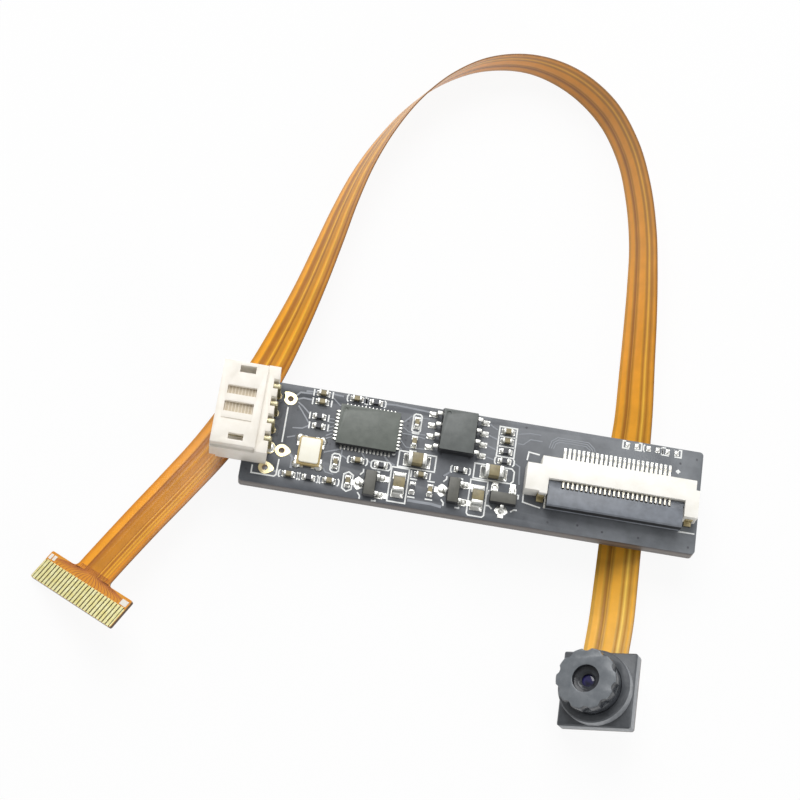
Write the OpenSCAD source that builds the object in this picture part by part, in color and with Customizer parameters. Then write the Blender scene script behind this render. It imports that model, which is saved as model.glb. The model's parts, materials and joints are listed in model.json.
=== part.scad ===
// Camera module: a narrow controller board with a side-entry header and a
// flip-lock flex socket, and a screw-focus camera head on a long flat flex.
// Millimetres, +Z up. The table is z = 0 and the origin is the middle of the
// footprint of board, header and camera head.

/* [Circuit board] */
// Length of the circuit board
board_l = 49.2; // [49:0.1:56]
// Width of the circuit board
board_w = 11.7; // [11.7:0.1:16]
// Thickness of the circuit board
board_t = 1.6; // [0.8:0.1:2.4]
// Corner radius of the circuit board
board_r = 0.4; // [0.1:0.1:1]
// Height of the board's underside above the table
board_lift = 3.3; // [3.3:0.1:5]
// Finished bore of the spare plated holes
spare_bore_d = 0.65; // [0.5:0.05:0.8]
// Finished bore of the header's plated holes
pin_bore_d = 0.8; // [0.75:0.05:0.9]
// Diameter of the ring round each plated hole
ring_d = 1.4; // [1.2:0.05:1.5]
// Thickness of the plating in the holes and of the copper rings
plating_t = 0.04; // [0.03:0.01:0.06]

/* [Header] */
// Number of posts in the header
header_pins = 4; // [2:1:4]
// Distance between neighbouring posts
header_pitch = 2.0; // [2:0.05:2.2]
// How far the header's mouth stands out past the board's end
header_overhang = 3.45; // [3:0.05:5]
// How far the header's side stands out past the board's rear edge
header_side = 0.35; // [0.2:0.05:0.6]
// Height of the header housing
header_h = 3.85; // [3.6:0.05:4.4]
// Thickness of the header's walls
header_wall = 0.6; // [0.5:0.05:0.7]
// Width of the square posts
pin_w = 0.5; // [0.4:0.05:0.5]
// Length of the solder tails under the board
pin_tail = 1.0; // [0.5:0.1:2]

/* [Flex socket] */
// Number of contacts in the flex socket
fpc_pins = 24; // [12:1:24]
// Distance between neighbouring contacts
fpc_pitch = 0.5; // [0.5:0.01:0.52]
// Depth of the flex socket from its lever's front to its rear wall
fpc_depth = 5.6; // [5.4:0.1:6.4]
// Height of the flex socket
fpc_h = 2.0; // [1.9:0.05:2.4]
// Clearance between the lever's pivot pins and their holes
pivot_clearance = 0.05; // [0.03:0.01:0.08]
// Thickness of the lever at its front edge
lever_t = 1.2; // [1:0.05:1.2]

/* [Camera head] */
// Side of the square camera head
head_w = 8.0; // [7.8:0.1:9]
// Lean of the camera head as it lies on the table
head_lean = 27; // [15:1:35]
// Height of the holder's square skirt
skirt_h = 1.36; // [1.2:0.02:1.8]
// Height of the holder's round boss over the skirt
boss_h = 1.3; // [1.1:0.05:1.7]
// Wall of the holder's round boss
boss_wall = 0.85; // [0.6:0.05:0.9]
// Diameter of the barrel's screwed neck
neck_d = 6.0; // [5.6:0.1:6.1]
// Running clearance of the barrel in the holder
neck_clearance = 0.05; // [0.03:0.01:0.08]
// Diameter of the barrel's scalloped rim
rim_d = 6.5; // [6.4:0.1:7.2]
// Thickness of the barrel's scalloped rim
rim_t = 1.5; // [1.3:0.1:2]
// Number of finger scallops in the rim
scallops = 10; // [6:1:14]
// Diameter of the barrel's front opening
opening_d = 2.86; // [2.4:0.02:3.4]
// Diameter of the lens stop
stop_d = 1.3; // [1:0.05:1.6]

/* [Flat flex] */
// Width of the flat flex
flex_w = 5.0; // [4:0.1:5]
// Thickness of the flat flex
flex_t = 0.15; // [0.1:0.01:0.2]
// Width of the T-shaped plug end
tail_w = 12.5; // [12.5:0.1:13]
// Depth of the T-shaped plug end
tail_l = 3.55; // [3.2:0.05:4]
// Thickness of the stiffeners behind the flex
stiffener_t = 0.2; // [0.1:0.02:0.22]

/* [Hidden] */
$fn = 48;
// Thin overlap that keeps a cutting tool clear of the face it cuts through
e = 0.02;

// Overall footprint: board, header and camera head
head_gap = 11.8;
overall_x = header_overhang + board_l;
overall_y = header_side + board_w + head_gap + head_w;
board_x0 = -overall_x / 2 + header_overhang;
board_y0 = overall_y / 2 - header_side - board_w;
board_top = board_lift + board_t;

// Plated holes, in board coordinates [x, y] from the board's front left corner
header_end = 1.95;
header_l = (header_pins - 1) * header_pitch + 2 * header_end;
header_y = board_w + header_side - header_l / 2;
pin_x = 2.65;
pin_sites = [for (i = [0 : header_pins - 1])
    [pin_x, header_y + (i - (header_pins - 1) / 2) * header_pitch]];
spare_sites = [[4.05, header_y + 2.9], [4.05, header_y - 3.1], [2.6, header_y - 5.3]];

// Side-entry header, x measured along the board
mouth_x = -header_overhang;
shroud_x = 1.3;
rear_x = 2.6;
rear_drop = 0.45;
rear_notch_w = 1.1;
rear_notch_x = 2.07;
pin_z = header_h - header_wall - 0.7;
cavity_end_x = 0.9;
// Recesses in the roof: [x from the mouth, y from the middle, length, width, depth]
roof_recesses = [
    [0.85, 1.4, 3.1, 1.0, header_wall - 0.15], [0.8, -0.5, 3.1, 1.2, header_wall - 0.15],
    [0.7, -1.9, 3.2, 0.12, 0.1],
    [1.8, 3.9, 1.7, 0.8, header_wall + e], [1.8, -3.8, 1.6, 0.7, header_wall + e]
];
ledge_w = 0.25;
ledge_h = 1.0;

// Flex socket, in its own coordinates: x from its middle, y from the board's front edge
bay_margin = 1.65;
bay_half = (fpc_pins - 1) * fpc_pitch / 2 + bay_margin;
ear_w_left = 2.4;
ear_w_right = 1.45;
fpc_x = board_l - 0.4 - ear_w_right - bay_half;
fpc_y0 = 2.0;
fpc_y1 = fpc_y0 + fpc_depth;
fpc_rear = 2.4;
fpc_wall_y = fpc_y1 - fpc_rear;
wall_left = 0.86;
ear_y0 = fpc_y0 + 1.4;
ear_y1 = fpc_y1 - 1.0;
ear_notch_w = 0.4;
floor_t = 0.5;
anchor_w = 0.75;
anchor_top = 1.15;
anchor_left = -bay_half - 0.52;
anchor_right = bay_half + 0.72;
contact_w = 0.2;
contact_slot_w = 0.28;
contact_arm_z = fpc_h - 0.55;
contact_tip_y = fpc_wall_y - 0.75;
tail_end_y = fpc_y1 + 1.7;
lever_gap = 0.1;
lever_half = bay_half - lever_gap;
lever_y0 = fpc_y0 + 0.2;
pivot_y = fpc_wall_y - 0.35;
pivot_z = fpc_h - 0.7;
pivot_r = 0.25;
pivot_len = 0.35;
lever_top = fpc_h - 0.25;
lever_low = lever_top - lever_t;
lever_step_y = pivot_y - 1.08;
lever_rear_y = pivot_y + 0.25;
lever_rear_z = pivot_z + 0.2;
lever_slot_w = 0.34;
lever_slot_y = contact_tip_y - 0.1;

// Stretch of the board between header and flex socket that the parts' places fill
field_x0 = 4.5;
field_l = fpc_x - bay_half - ear_w_left - field_x0;
// Length of that stretch, and the board's width, that the places below are given for
layout_l = 25.65;
layout_w = 11.7;

// Chips, in board coordinates
controller_at = [12.8, 7.9];
controller_size = [6.5, 4.5, 0.8];
memory_at = [22.4, 9.0];
memory_size = [3.9, 4.9, 1.45];
crystal_at = [7.0, 4.3];
crystal_size = [2.5, 3.2, 0.75];
// Each regulator: [x, y, turn], its single lead on its own -x side
regulator_sites = [[13.85, 1.75, 0], [22.75, 2.5, 0], [28.1, 2.5, 90]];
regulator_size = [1.3, 2.9, 1.0];

// Ceramic capacitors and resistors: [x, y, turn]
bulk_sites = [[18.5, 5.3, 0], [16.9, 2.3, 90], [26.8, 5.35, 0], [25.4, 2.3, 90]];
bulk_size = [2.0, 1.25, 1.1];
bulk_cap_l = 0.45;
capacitor_sites = [
    [7.45, 11.2, 0], [7.45, 10.2, 0], [11.1, 11.2, 0], [17.9, 9.6, 90], [17.9, 7.4, 90],
    [9.9, 3.6, 90], [12.2, 4.25, 0], [5.2, 1.45, 0], [9.55, 1.45, 0], [11.5, 1.75, 90],
    [19.1, 3.8, 0], [20.3, 2.25, 90], [27.8, 10.3, 0], [27.8, 9.2, 0]
];
resistor_sites = [
    [7.4, 8.5, 0], [7.5, 7.4, 0], [13.2, 11.15, 0], [14.75, 4.15, 0], [7.35, 1.45, 0],
    [18.4, 2.2, 90], [23.25, 5.1, 0], [27.8, 8.0, 0], [27.8, 6.9, 0]
];
capacitor_size = [1.0, 0.5, 0.5];
resistor_size = [1.0, 0.5, 0.33];
chip_cap_l = 0.22;
// Bare pad pairs beside the flex socket's tails
bare_sites = [[41.35, 11.15, 0], [43.65, 11.1, 0], [45.75, 11.1, 0]];
pad_t = 0.05;

// Camera head, in its own coordinates: z from the stiffener's underside
head_inset = 7.8;
head_x = overall_x / 2 - head_inset;
head_y = -overall_y / 2 + head_w / 2;
head_z = head_w / 2 * sin(head_lean);
flex_z0 = stiffener_t;
holder_z0 = stiffener_t + flex_t;
skirt_top = holder_z0 + skirt_h;
boss_top = skirt_top + boss_h;
boss_d = neck_d + 2 * neck_clearance + 2 * boss_wall;
skirt_wall = 0.7;
skirt_r = 0.25;
skirt_chamfer = 0.15;
bridge_t = 0.3;
window_w = 3.8;
sensor_w = 4.6;
sensor_t = 0.45;
sensor_glass_t = 0.25;
filter_w = 5.0;
filter_t = 0.21;
barrel_z0 = skirt_top + 0.2;
rim_z0 = boss_top + 1.3;
rim_top = rim_z0 + rim_t;
scallop_d = 1.3;
scallop_depth = 0.3;
opening_depth = 0.6;
stop_z = rim_top - opening_depth - 0.25;
stop_t = 0.12;
lens_clearance = 0.02;
front_lens_d = 2.6;
middle_lens_d = 3.6;
rear_lens_d = 4.4;
front_lens_t = 0.55;
middle_lens_t = 0.55;
rear_lens_t = 0.65;
spacer_t = 0.45;
front_lens_z = stop_z - stop_t - front_lens_t;
middle_lens_z = front_lens_z - middle_lens_t;
rear_lens_z = middle_lens_z - spacer_t - rear_lens_t;

// Flat flex route from the head's middle: [x, y, z, lean of the strip], one lower edge on the table
route = [
    [-0.1, head_w / 2, head_z + 0.28, head_lean], [0.2, 7.75, 1.7, 27], [0.3, 11.75, 1.4, 30],
    [0.3, 15.75, 1.5, 33], [0.3, 19.75, 1.6, 35], [0.3, 23.75, 1.7, 37], [0.2, 27.75, 1.7, 38],
    [0.2, 31.95, 1.9, 45], [0, 37.45, 2, 50], [-0.2, 42.85, 2.1, 54], [-0.5, 48.25, 2.2, 59],
    [-1, 53.65, 2.3, 64], [-2.1, 59.15, 2.4, 68], [-3.9, 64.35, 2.5, 73], [-6.9, 69.05, 2.5, 78],
    [-11.3, 72.35, 2.5, 86], [-16.4, 73.65, 2.5, 96], [-21.5, 72.65, 2.5, 102],
    [-25.8, 69.85, 2.5, 107], [-29.2, 65.95, 2.4, 111], [-31.8, 61.35, 2.4, 115],
    [-33.8, 56.45, 2.3, 120], [-35.2, 51.35, 2.2, 125], [-36.3, 46.15, 2.1, 131],
    [-37.5, 40.75, 1.9, 137], [-38.9, 35.35, 1.9, 145], [-40.5, 29.95, 2, 153],
    [-42.5, 24.65, 2.2, 159], [-44.9, 19.65, 2.3, 159], [-47.7, 14.85, 2.5, 157],
    [-50.5, 10.25, 2.7, 155], [-53.2, 5.65, 2.9, 154], [-54.5, 3.35, 3, 154]
];
route_steps = 2;
route_last = len(route) - 1;
tail_point = stop(route_last);
tail_heading = atan2(tail_point[1] - stop(route_last - 1)[1], tail_point[0] - stop(route_last - 1)[0]);
finger_count = fpc_pins;
finger_pitch = fpc_pitch;
finger_w = 0.35;
finger_l = 2.5;
finger_t = 0.035;
neck_fillet = 0.5;

// Places its children in board coordinates, on the board's top face
module on_board(p = [0, 0], turn = 0) {
    translate([board_x0 + p[0], board_y0 + p[1], board_top])
        rotate([0, 0, turn])
            children();
}

// Spreads a part's place over the board's free stretch and width
function spread(p) = [field_x0 + (p[0] - field_x0) * field_l / layout_l, p[1] * board_w / layout_w];

// Places its children at a part's place on the board's top face
module placed(p, turn = 0) {
    on_board(spread(p), turn)
        children();
}

// Places its children in the leaning camera head's coordinates
module in_head() {
    translate([head_x, head_y, head_z])
        rotate([0, -head_lean, 0])
            children();
}

// Places its children at the end of the flat flex: +Y onward, -Z the face that shows
module at_tail() {
    translate([tail_point[0], tail_point[1], tail_point[2]])
        rotate([0, 0, tail_heading - 90])
            rotate([0, -tail_point[3], 0])
                children();
}

// Rectangle with round corners, from its centre
module rounded_rect(w, l, r) {
    square([w - 2 * r, l], center = true);
    square([w, l - 2 * r], center = true);
    for (sx = [-1, 1], sy = [-1, 1])
        translate([sx * (w / 2 - r), sy * (l / 2 - r)])
            circle(r);
}

// Box centred on x and y, standing on z = 0
module block(size) {
    translate([-size[0] / 2, -size[1] / 2, 0])
        cube(size);
}

// Extrudes a [y, z] outline along x, centred
module across_x(w) {
    translate([-w / 2, 0, 0])
        rotate([90, 0, 90])
            linear_extrude(w)
                children();
}

// Moulded package: its sides lean in above and below the parting line
module moulded_body(size, z0, draft) {
    mid = (z0 + size[2]) / 2;
    intersection() {
        across_x(size[0])
            polygon([
                [-size[1] / 2 + draft, z0], [size[1] / 2 - draft, z0], [size[1] / 2, mid],
                [size[1] / 2 - draft, size[2]], [-size[1] / 2 + draft, size[2]], [-size[1] / 2, mid]
            ]);
        rotate([0, 0, 90])
            across_x(size[1])
                polygon([
                    [-size[0] / 2 + draft, z0], [size[0] / 2 - draft, z0], [size[0] / 2, mid],
                    [size[0] / 2 - draft, size[2]], [-size[0] / 2 + draft, size[2]], [-size[0] / 2, mid]
                ]);
    }
}

// Gull-wing lead leaving a package's side at y = 0 towards +y, foot on z = pad_t
module gull_lead(w, reach, exit_z, t) {
    across_x(w)
        polygon([
            [0, exit_z - t / 2], [reach * 0.3, exit_z - t / 2], [reach * 0.45, pad_t],
            [reach, pad_t], [reach, pad_t + t], [reach * 0.45 + t, pad_t + t],
            [reach * 0.3 + t, exit_z + t / 2], [0, exit_z + t / 2]
        ]);
}

// Two-ended chip part: its ceramic between the end terminals
module chip_core(size, cap_l) {
    translate([0, 0, pad_t + 0.02])
        block([size[0] - 2 * cap_l, size[1] - 0.04, size[2] - 0.04]);
}

// The pair of metal end terminals of a chip part
module chip_ends(size, cap_l) {
    for (s = [-1, 1])
        translate([s * (size[0] - cap_l) / 2, 0, pad_t])
            block([cap_l, size[1], size[2]]);
}

// The pair of copper pads under a chip part
module chip_pads(size, cap_l) {
    for (s = [-1, 1])
        translate([s * size[0] / 2, 0, 0])
            block([2 * cap_l, size[1] + 0.1, pad_t]);
}

module circuit_board() {
    color("#3c4046")
        translate([board_x0, board_y0, board_lift])
            difference() {
                translate([board_l / 2, board_w / 2, 0])
                    linear_extrude(board_t)
                        rounded_rect(board_l, board_w, board_r);
                for (p = pin_sites)
                    translate([p[0], p[1], -e])
                        cylinder(h = board_t + 2 * e, d = pin_bore_d + 2 * plating_t);
                for (p = spare_sites)
                    translate([p[0], p[1], -e])
                        cylinder(h = board_t + 2 * e, d = spare_bore_d);
            }
}

// One plated hole: a barrel with a ring on each face of the board
module plated_hole(bore_d) {
    outline = [
        [bore_d / 2, -board_t - plating_t], [ring_d / 2, -board_t - plating_t], [ring_d / 2, -board_t],
        [bore_d / 2 + plating_t, -board_t], [bore_d / 2 + plating_t, 0], [ring_d / 2, 0],
        [ring_d / 2, plating_t], [bore_d / 2, plating_t]
    ];
    rotate_extrude()
        polygon(outline);
}

// The copper rings of one spare hole, one on each face of the board
module hole_rings(bore_d) {
    for (z = [-board_t - plating_t, 0])
        translate([0, 0, z])
            difference() {
                cylinder(h = plating_t, d = ring_d);
                translate([0, 0, -e])
                    cylinder(h = plating_t + 2 * e, d = bore_d);
            }
}

module plated_holes() {
    color("#d9b44a") {
        for (p = pin_sites)
            on_board(p)
                plated_hole(pin_bore_d);
        for (p = spare_sites)
            on_board(p)
                hole_rings(spare_bore_d);
    }
}

module solder_pads() {
    color("#d7d2c4") {
        for (s = bulk_sites)
            placed(s, s[2])
                chip_pads(bulk_size, bulk_cap_l);
        for (s = concat(capacitor_sites, resistor_sites, bare_sites))
            placed(s, s[2])
                chip_pads(capacitor_size, chip_cap_l);
        for (s = regulator_sites)
            placed(s, s[2])
                regulator_places()
                    translate([0, 0.95, 0])
                        block([0.6, 0.8, pad_t]);
        placed(crystal_at)
            for (sx = [-1, 1], sy = [-1, 1])
                translate([sx * 0.95, sy * 1.2, 0])
                    block([1.0, 1.2, pad_t]);
        placed(memory_at)
            memory_places()
                translate([0, 0.9, 0])
                    block([0.6, 0.9, pad_t]);
    }
}

// Header housing: a shroud open to -x with a notched rear block
module header_housing() {
    shroud_l = shroud_x - mouth_x;
    inner_l = header_l - 2 * header_wall;
    inner_h = header_h - 2 * header_wall;
    ring_clear = ring_d / 2 + 0.1;
    color("#f4f2ea")
        on_board([0, header_y])
            difference() {
                union() {
                    translate([mouth_x, -header_l / 2, 0])
                        cube([shroud_l, header_l, header_h]);
                    translate([shroud_x, -header_l / 2, 0])
                        cube([rear_x - shroud_x, header_l, header_h - rear_drop]);
                }
                // the cavity that takes the mating plug
                translate([mouth_x - e, -inner_l / 2, header_wall])
                    cube([cavity_end_x - mouth_x + e, inner_l, inner_h]);
                // lead-in relief round the mouth, along the outer lower edges
                for (s = [-1, 1])
                    translate([mouth_x - e, s * (header_l / 2 - 0.15) - 0.3, -e])
                        cube([0.7, 0.6, 0.5 + e]);
                // polarising recesses and windows in the roof
                for (r = roof_recesses)
                    translate([mouth_x + r[0], r[1] - r[3] / 2, header_h - r[4]])
                        cube([r[2], r[3], r[4] + e]);
                // ledge along both top edges
                for (s = [-1, 1])
                    translate([mouth_x - e, s * header_l / 2 - ledge_w, header_h - ledge_h])
                        cube([shroud_l + 2 * e, 2 * ledge_w, ledge_h + e]);
                // relief under the rear block over the rings on the board
                translate([pin_x - ring_clear, -header_l / 2 - e, -e])
                    cube([2 * ring_clear, header_l + 2 * e, 2 * plating_t + e]);
                // rear notches where the posts turn down, and their bores through the wall
                for (p = pin_sites) {
                    translate([rear_notch_x, p[1] - header_y - rear_notch_w / 2, -e])
                        cube([rear_x - rear_notch_x + e, rear_notch_w, header_h + 2 * e]);
                    translate([cavity_end_x - e, p[1] - header_y - pin_w / 2, pin_z - pin_w / 2])
                        cube([rear_notch_x - cavity_end_x + 2 * e, pin_w, pin_w]);
                }
            }
}

// One square post, bent down behind the housing, with a tapered tip each end
module header_pin(i) {
    tip = 0.12;
    tip_x = mouth_x + 1.3;
    low = -board_t - pin_tail;
    half = pin_w / 2;
    p = pin_sites[min(i, header_pins) - 1];
    color("#d8c27a")
        on_board([0, p[1]])
            translate([0, half, 0])
                rotate([90, 0, 0])
                    linear_extrude(pin_w)
                        polygon([
                            [tip_x, pin_z - half + tip], [tip_x + 2 * tip, pin_z - half],
                            [pin_x - half, pin_z - half], [pin_x - half, low + 2 * tip],
                            [pin_x - half + tip, low], [pin_x + half - tip, low],
                            [pin_x + half, low + 2 * tip], [pin_x + half, pin_z + half - tip],
                            [pin_x + half - tip, pin_z + half], [tip_x + 2 * tip, pin_z + half],
                            [tip_x, pin_z + half - tip]
                        ]);
}
module header_pin_1() { header_pin(1); }
module header_pin_2() { header_pin(2); }
module header_pin_3() { header_pin(3); }
module header_pin_4() { header_pin(4); }

// Places its children at each contact of the flex socket
module at_contacts() {
    for (i = [0 : fpc_pins - 1])
        translate([(i - (fpc_pins - 1) / 2) * fpc_pitch, 0, 0])
            children();
}

// Flex socket body: floor, rear wall with contact slots, and an ear at each end
module fpc_socket_housing() {
    color("#f3efe2")
        on_board([fpc_x, 0])
            difference() {
                union() {
                    across_x(2 * (bay_half + e))
                        polygon([
                            [fpc_y0 + 0.35, 0.05], [fpc_wall_y + e, 0.05], [fpc_wall_y + e, floor_t],
                            [fpc_y0 + 1.0, floor_t], [fpc_y0 + 0.75, 0.25], [fpc_y0 + 0.35, 0.25]
                        ]);
                    translate([-bay_half - wall_left, fpc_wall_y, 0])
                        cube([2 * bay_half + wall_left + ear_w_right, fpc_rear, fpc_h]);
                    translate([-bay_half - ear_w_left, ear_y0, 0])
                        cube([ear_w_left, ear_y1 - ear_y0, fpc_h]);
                    translate([bay_half, ear_y0, 0])
                        cube([ear_w_right, ear_y1 - ear_y0, fpc_h]);
                }
                at_contacts() {
                    translate([-contact_slot_w / 2, fpc_wall_y - e, 0.1])
                        cube([contact_slot_w, fpc_rear + 2 * e, contact_arm_z + 0.15]);
                    translate([-contact_slot_w / 2, fpc_y0 + 1.0, 0.2])
                        cube([contact_slot_w, fpc_wall_y - fpc_y0 - 1.0 + e, floor_t]);
                }
                // notched rear corner of the right ear, and the left ear's stepped front
                translate([bay_half + ear_w_right - ear_notch_w, ear_y1 - 0.1, -e])
                    cube([ear_notch_w + e, fpc_y1 - ear_y1 + 0.1 + e, fpc_h + 2 * e]);
                translate([-bay_half - ear_w_left - e, ear_y0 - e, -e])
                    cube([ear_w_left - wall_left + e, 0.2 + e, fpc_h + 2 * e]);
                // the recess that holds each solder anchor
                for (x = [anchor_left, anchor_right])
                    translate([x - anchor_w / 2 - 0.05, ear_y0 - e, -e])
                        cube([anchor_w + 0.1, 0.5 + e, anchor_top + 0.05 + e]);
                // blind bearing holes for the lever's pivot pins
                for (s = [-1, 1])
                    translate([s * bay_half, pivot_y, pivot_z])
                        rotate([0, 90, 0])
                            cylinder(h = 1.0, r = pivot_r + pivot_clearance, center = true);
            }
}

// Flip-lock lever, turning on two pins at its rear
module fpc_socket_actuator() {
    color("#2b2c30")
        on_board([fpc_x, 0]) {
            difference() {
                across_x(2 * lever_half)
                    polygon([
                        [lever_y0 - 0.1, lever_low], [lever_y0 + 0.1, lever_low - 0.05],
                        [lever_y0 + 0.5, lever_low + 0.12], [pivot_y - 0.4, lever_low + 0.25],
                        [pivot_y, pivot_z - pivot_r],
                        [pivot_y + 0.18, pivot_z - 0.18], [lever_rear_y, pivot_z],
                        [lever_rear_y, lever_rear_z],
                        [lever_step_y + 0.45, lever_rear_z + 0.02], [lever_step_y, lever_top],
                        [lever_y0 + 0.15, lever_top], [lever_y0, lever_top - 0.15],
                        [lever_y0, lever_low + 0.25], [lever_y0 - 0.1, lever_low + 0.15]
                    ]);
                at_contacts()
                    translate([-lever_slot_w / 2, lever_slot_y, 0])
                        cube([lever_slot_w, fpc_depth, fpc_h]);
            }
            for (s = [-1, 1])
                translate([s * (lever_half + pivot_len / 2 - e), pivot_y, pivot_z])
                    rotate([0, 90, 0])
                        cylinder(h = pivot_len + 2 * e, r = pivot_r, center = true);
        }
}

// Forked contacts: a tail on the board, a sprung lower arm and a hooked upper arm
module fpc_socket_contacts() {
    low_y = fpc_y0 + 1.2;
    heel_y = fpc_y1 - 0.9;
    color("#e6d9a6")
        on_board([fpc_x, 0])
            at_contacts()
                across_x(contact_w)
                    polygon([
                        [tail_end_y, pad_t], [tail_end_y, 0.2], [fpc_y1 + 0.35, 0.22],
                        [fpc_y1 - 0.1, 0.5], [heel_y + 0.3, 0.55], [heel_y + 0.3, contact_arm_z + 0.2],
                        [contact_tip_y, contact_arm_z + 0.2], [contact_tip_y, contact_arm_z],
                        [heel_y - 0.2, contact_arm_z], [heel_y - 0.2, 0.42], [low_y + 0.6, 0.36],
                        [low_y + 0.3, 0.58], [low_y, 0.42], [low_y + 0.2, 0.24], [heel_y, 0.24],
                        [fpc_y1 + 0.2, pad_t]
                    ]);
}

// Bent metal tab soldered to the board in the front of an ear
module fpc_anchor(x) {
    color("#cdb06a")
        on_board([fpc_x + x, 0])
            across_x(anchor_w)
                polygon([
                    [ear_y0 - 0.45, pad_t], [ear_y0 + 0.45, pad_t], [ear_y0 + 0.45, anchor_top],
                    [ear_y0 - 0.15, anchor_top], [ear_y0 - 0.15, anchor_top - 0.15],
                    [ear_y0 + 0.25, anchor_top - 0.15], [ear_y0 + 0.25, 0.25], [ear_y0 - 0.45, 0.25]
                ]);
}
module fpc_socket_anchor_left() { fpc_anchor(anchor_left); }
module fpc_socket_anchor_right() { fpc_anchor(anchor_right); }

module controller_chip() {
    color("#3a3d3f")
        placed(controller_at)
            difference() {
                translate([0, 0, 0.12])
                    block([controller_size[0], controller_size[1], controller_size[2] - 0.12]);
                translate([-controller_size[0] / 2 + 0.6, controller_size[1] / 2 - 0.6, controller_size[2]])
                    cylinder(h = 0.1, r = 0.2, center = true);
            }
}

// A row of flat leads along one side of the controller
module lead_row(n, reach) {
    for (i = [0 : n - 1])
        translate([(i - (n - 1) / 2) * 0.4, reach, 0])
            block([0.22, 0.5, 0.12]);
}

module controller_leads() {
    color("#d9d6cc")
        placed(controller_at)
            for (side = [0, 180]) {
                rotate([0, 0, side])
                    lead_row(14, controller_size[1] / 2);
                rotate([0, 0, side + 90])
                    lead_row(9, controller_size[0] / 2);
            }
}

module memory_chip() {
    color("#2f3135")
        placed(memory_at)
            difference() {
                moulded_body(memory_size, 0.15, 0.12);
                translate([-memory_size[0] / 2 + 0.65, memory_size[1] / 2 - 0.65, memory_size[2]])
                    cylinder(h = 0.16, r = 0.25, center = true);
            }
}

// Places its children at the memory chip's eight leads
module memory_places() {
    for (side = [-1, 1], i = [0 : 3])
        translate([side * memory_size[0] / 2, (i - 1.5) * 1.27, 0])
            rotate([0, 0, -side * 90])
                children();
}

module memory_leads() {
    color("#c9c9c6")
        placed(memory_at)
            memory_places()
                gull_lead(0.4, 1.15, 0.8, 0.18);
}

module crystal_base() {
    color("#c8b27a")
        placed(crystal_at)
            translate([0, 0, pad_t])
                block([crystal_size[0], crystal_size[1], 0.45]);
}

module crystal_lid() {
    color("#e8dcae")
        placed(crystal_at)
            translate([0, 0, pad_t + 0.45])
                linear_extrude(crystal_size[2] - pad_t - 0.45)
                    rounded_rect(crystal_size[0] - 0.4, crystal_size[1] - 0.4, 0.25);
}

module regulator(site) {
    color("#303236")
        placed(site, site[2])
            moulded_body(regulator_size, 0.12, 0.08);
}
module regulator_1() { regulator(regulator_sites[0]); }
module regulator_2() { regulator(regulator_sites[1]); }
module regulator_3() { regulator(regulator_sites[2]); }

// Places its children at a regulator's three leads: one on -x, two on +x
module regulator_places() {
    translate([-regulator_size[0] / 2, 0, 0])
        rotate([0, 0, 90])
            children();
    for (s = [-1, 1])
        translate([regulator_size[0] / 2, s * 0.95, 0])
            rotate([0, 0, -90])
                children();
}

module regulator_leads(site) {
    color("#c9c9c6")
        placed(site, site[2])
            regulator_places()
                gull_lead(0.4, 0.75, 0.55, 0.14);
}
module regulator_1_leads() { regulator_leads(regulator_sites[0]); }
module regulator_2_leads() { regulator_leads(regulator_sites[1]); }
module regulator_3_leads() { regulator_leads(regulator_sites[2]); }

module bulk_capacitor(site) {
    color("#b59a72")
        placed(site, site[2])
            chip_core(bulk_size, bulk_cap_l);
}
module bulk_capacitor_1() { bulk_capacitor(bulk_sites[0]); }
module bulk_capacitor_2() { bulk_capacitor(bulk_sites[1]); }
module bulk_capacitor_3() { bulk_capacitor(bulk_sites[2]); }
module bulk_capacitor_4() { bulk_capacitor(bulk_sites[3]); }

module bulk_capacitor_terminals() {
    color("#d4d4d0")
        for (s = bulk_sites)
            placed(s, s[2])
                chip_ends(bulk_size, bulk_cap_l);
}

module chip_capacitors() {
    color("#b59a72")
        for (s = capacitor_sites)
            placed(s, s[2])
                chip_core(capacitor_size, chip_cap_l);
}

module chip_capacitor_terminals() {
    color("#d4d4d0")
        for (s = capacitor_sites)
            placed(s, s[2])
                chip_ends(capacitor_size, chip_cap_l);
}

module chip_resistors() {
    color("#2c2d30")
        for (s = resistor_sites)
            placed(s, s[2])
                chip_core(resistor_size, chip_cap_l);
}

module chip_resistor_terminals() {
    color("#d4d4d0")
        for (s = resistor_sites)
            placed(s, s[2])
                chip_ends(resistor_size, chip_cap_l);
}

module head_stiffener() {
    color("#8a8c8e")
        in_head()
            linear_extrude(stiffener_t)
                rounded_rect(head_w - 0.2, head_w - 0.2, 0.3);
}

module head_flex() {
    color("#b8741c")
        in_head()
            translate([0, 0, flex_z0])
                linear_extrude(flex_t)
                    rounded_rect(head_w, head_w, 0.3);
}

module image_sensor() {
    color("#4b4e57")
        in_head()
            translate([0, 0, holder_z0])
                block([sensor_w, sensor_w, sensor_t]);
}

module sensor_glass() {
    color("#7f93a8", 0.5)
        in_head()
            translate([0, 0, holder_z0 + sensor_t])
                block([sensor_w, sensor_w, sensor_glass_t]);
}

module infrared_filter() {
    color("#9ec7c0", 0.5)
        in_head()
            translate([0, 0, skirt_top - bridge_t - filter_t])
                block([filter_w, filter_w, filter_t]);
}

// Side outline of the skirt with chamfered top edges
module skirt_outline() {
    polygon([
        [-head_w / 2, 0], [head_w / 2, 0], [head_w / 2, skirt_h - skirt_chamfer],
        [head_w / 2 - skirt_chamfer, skirt_h], [-head_w / 2 + skirt_chamfer, skirt_h],
        [-head_w / 2, skirt_h - skirt_chamfer]
    ]);
}

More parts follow.
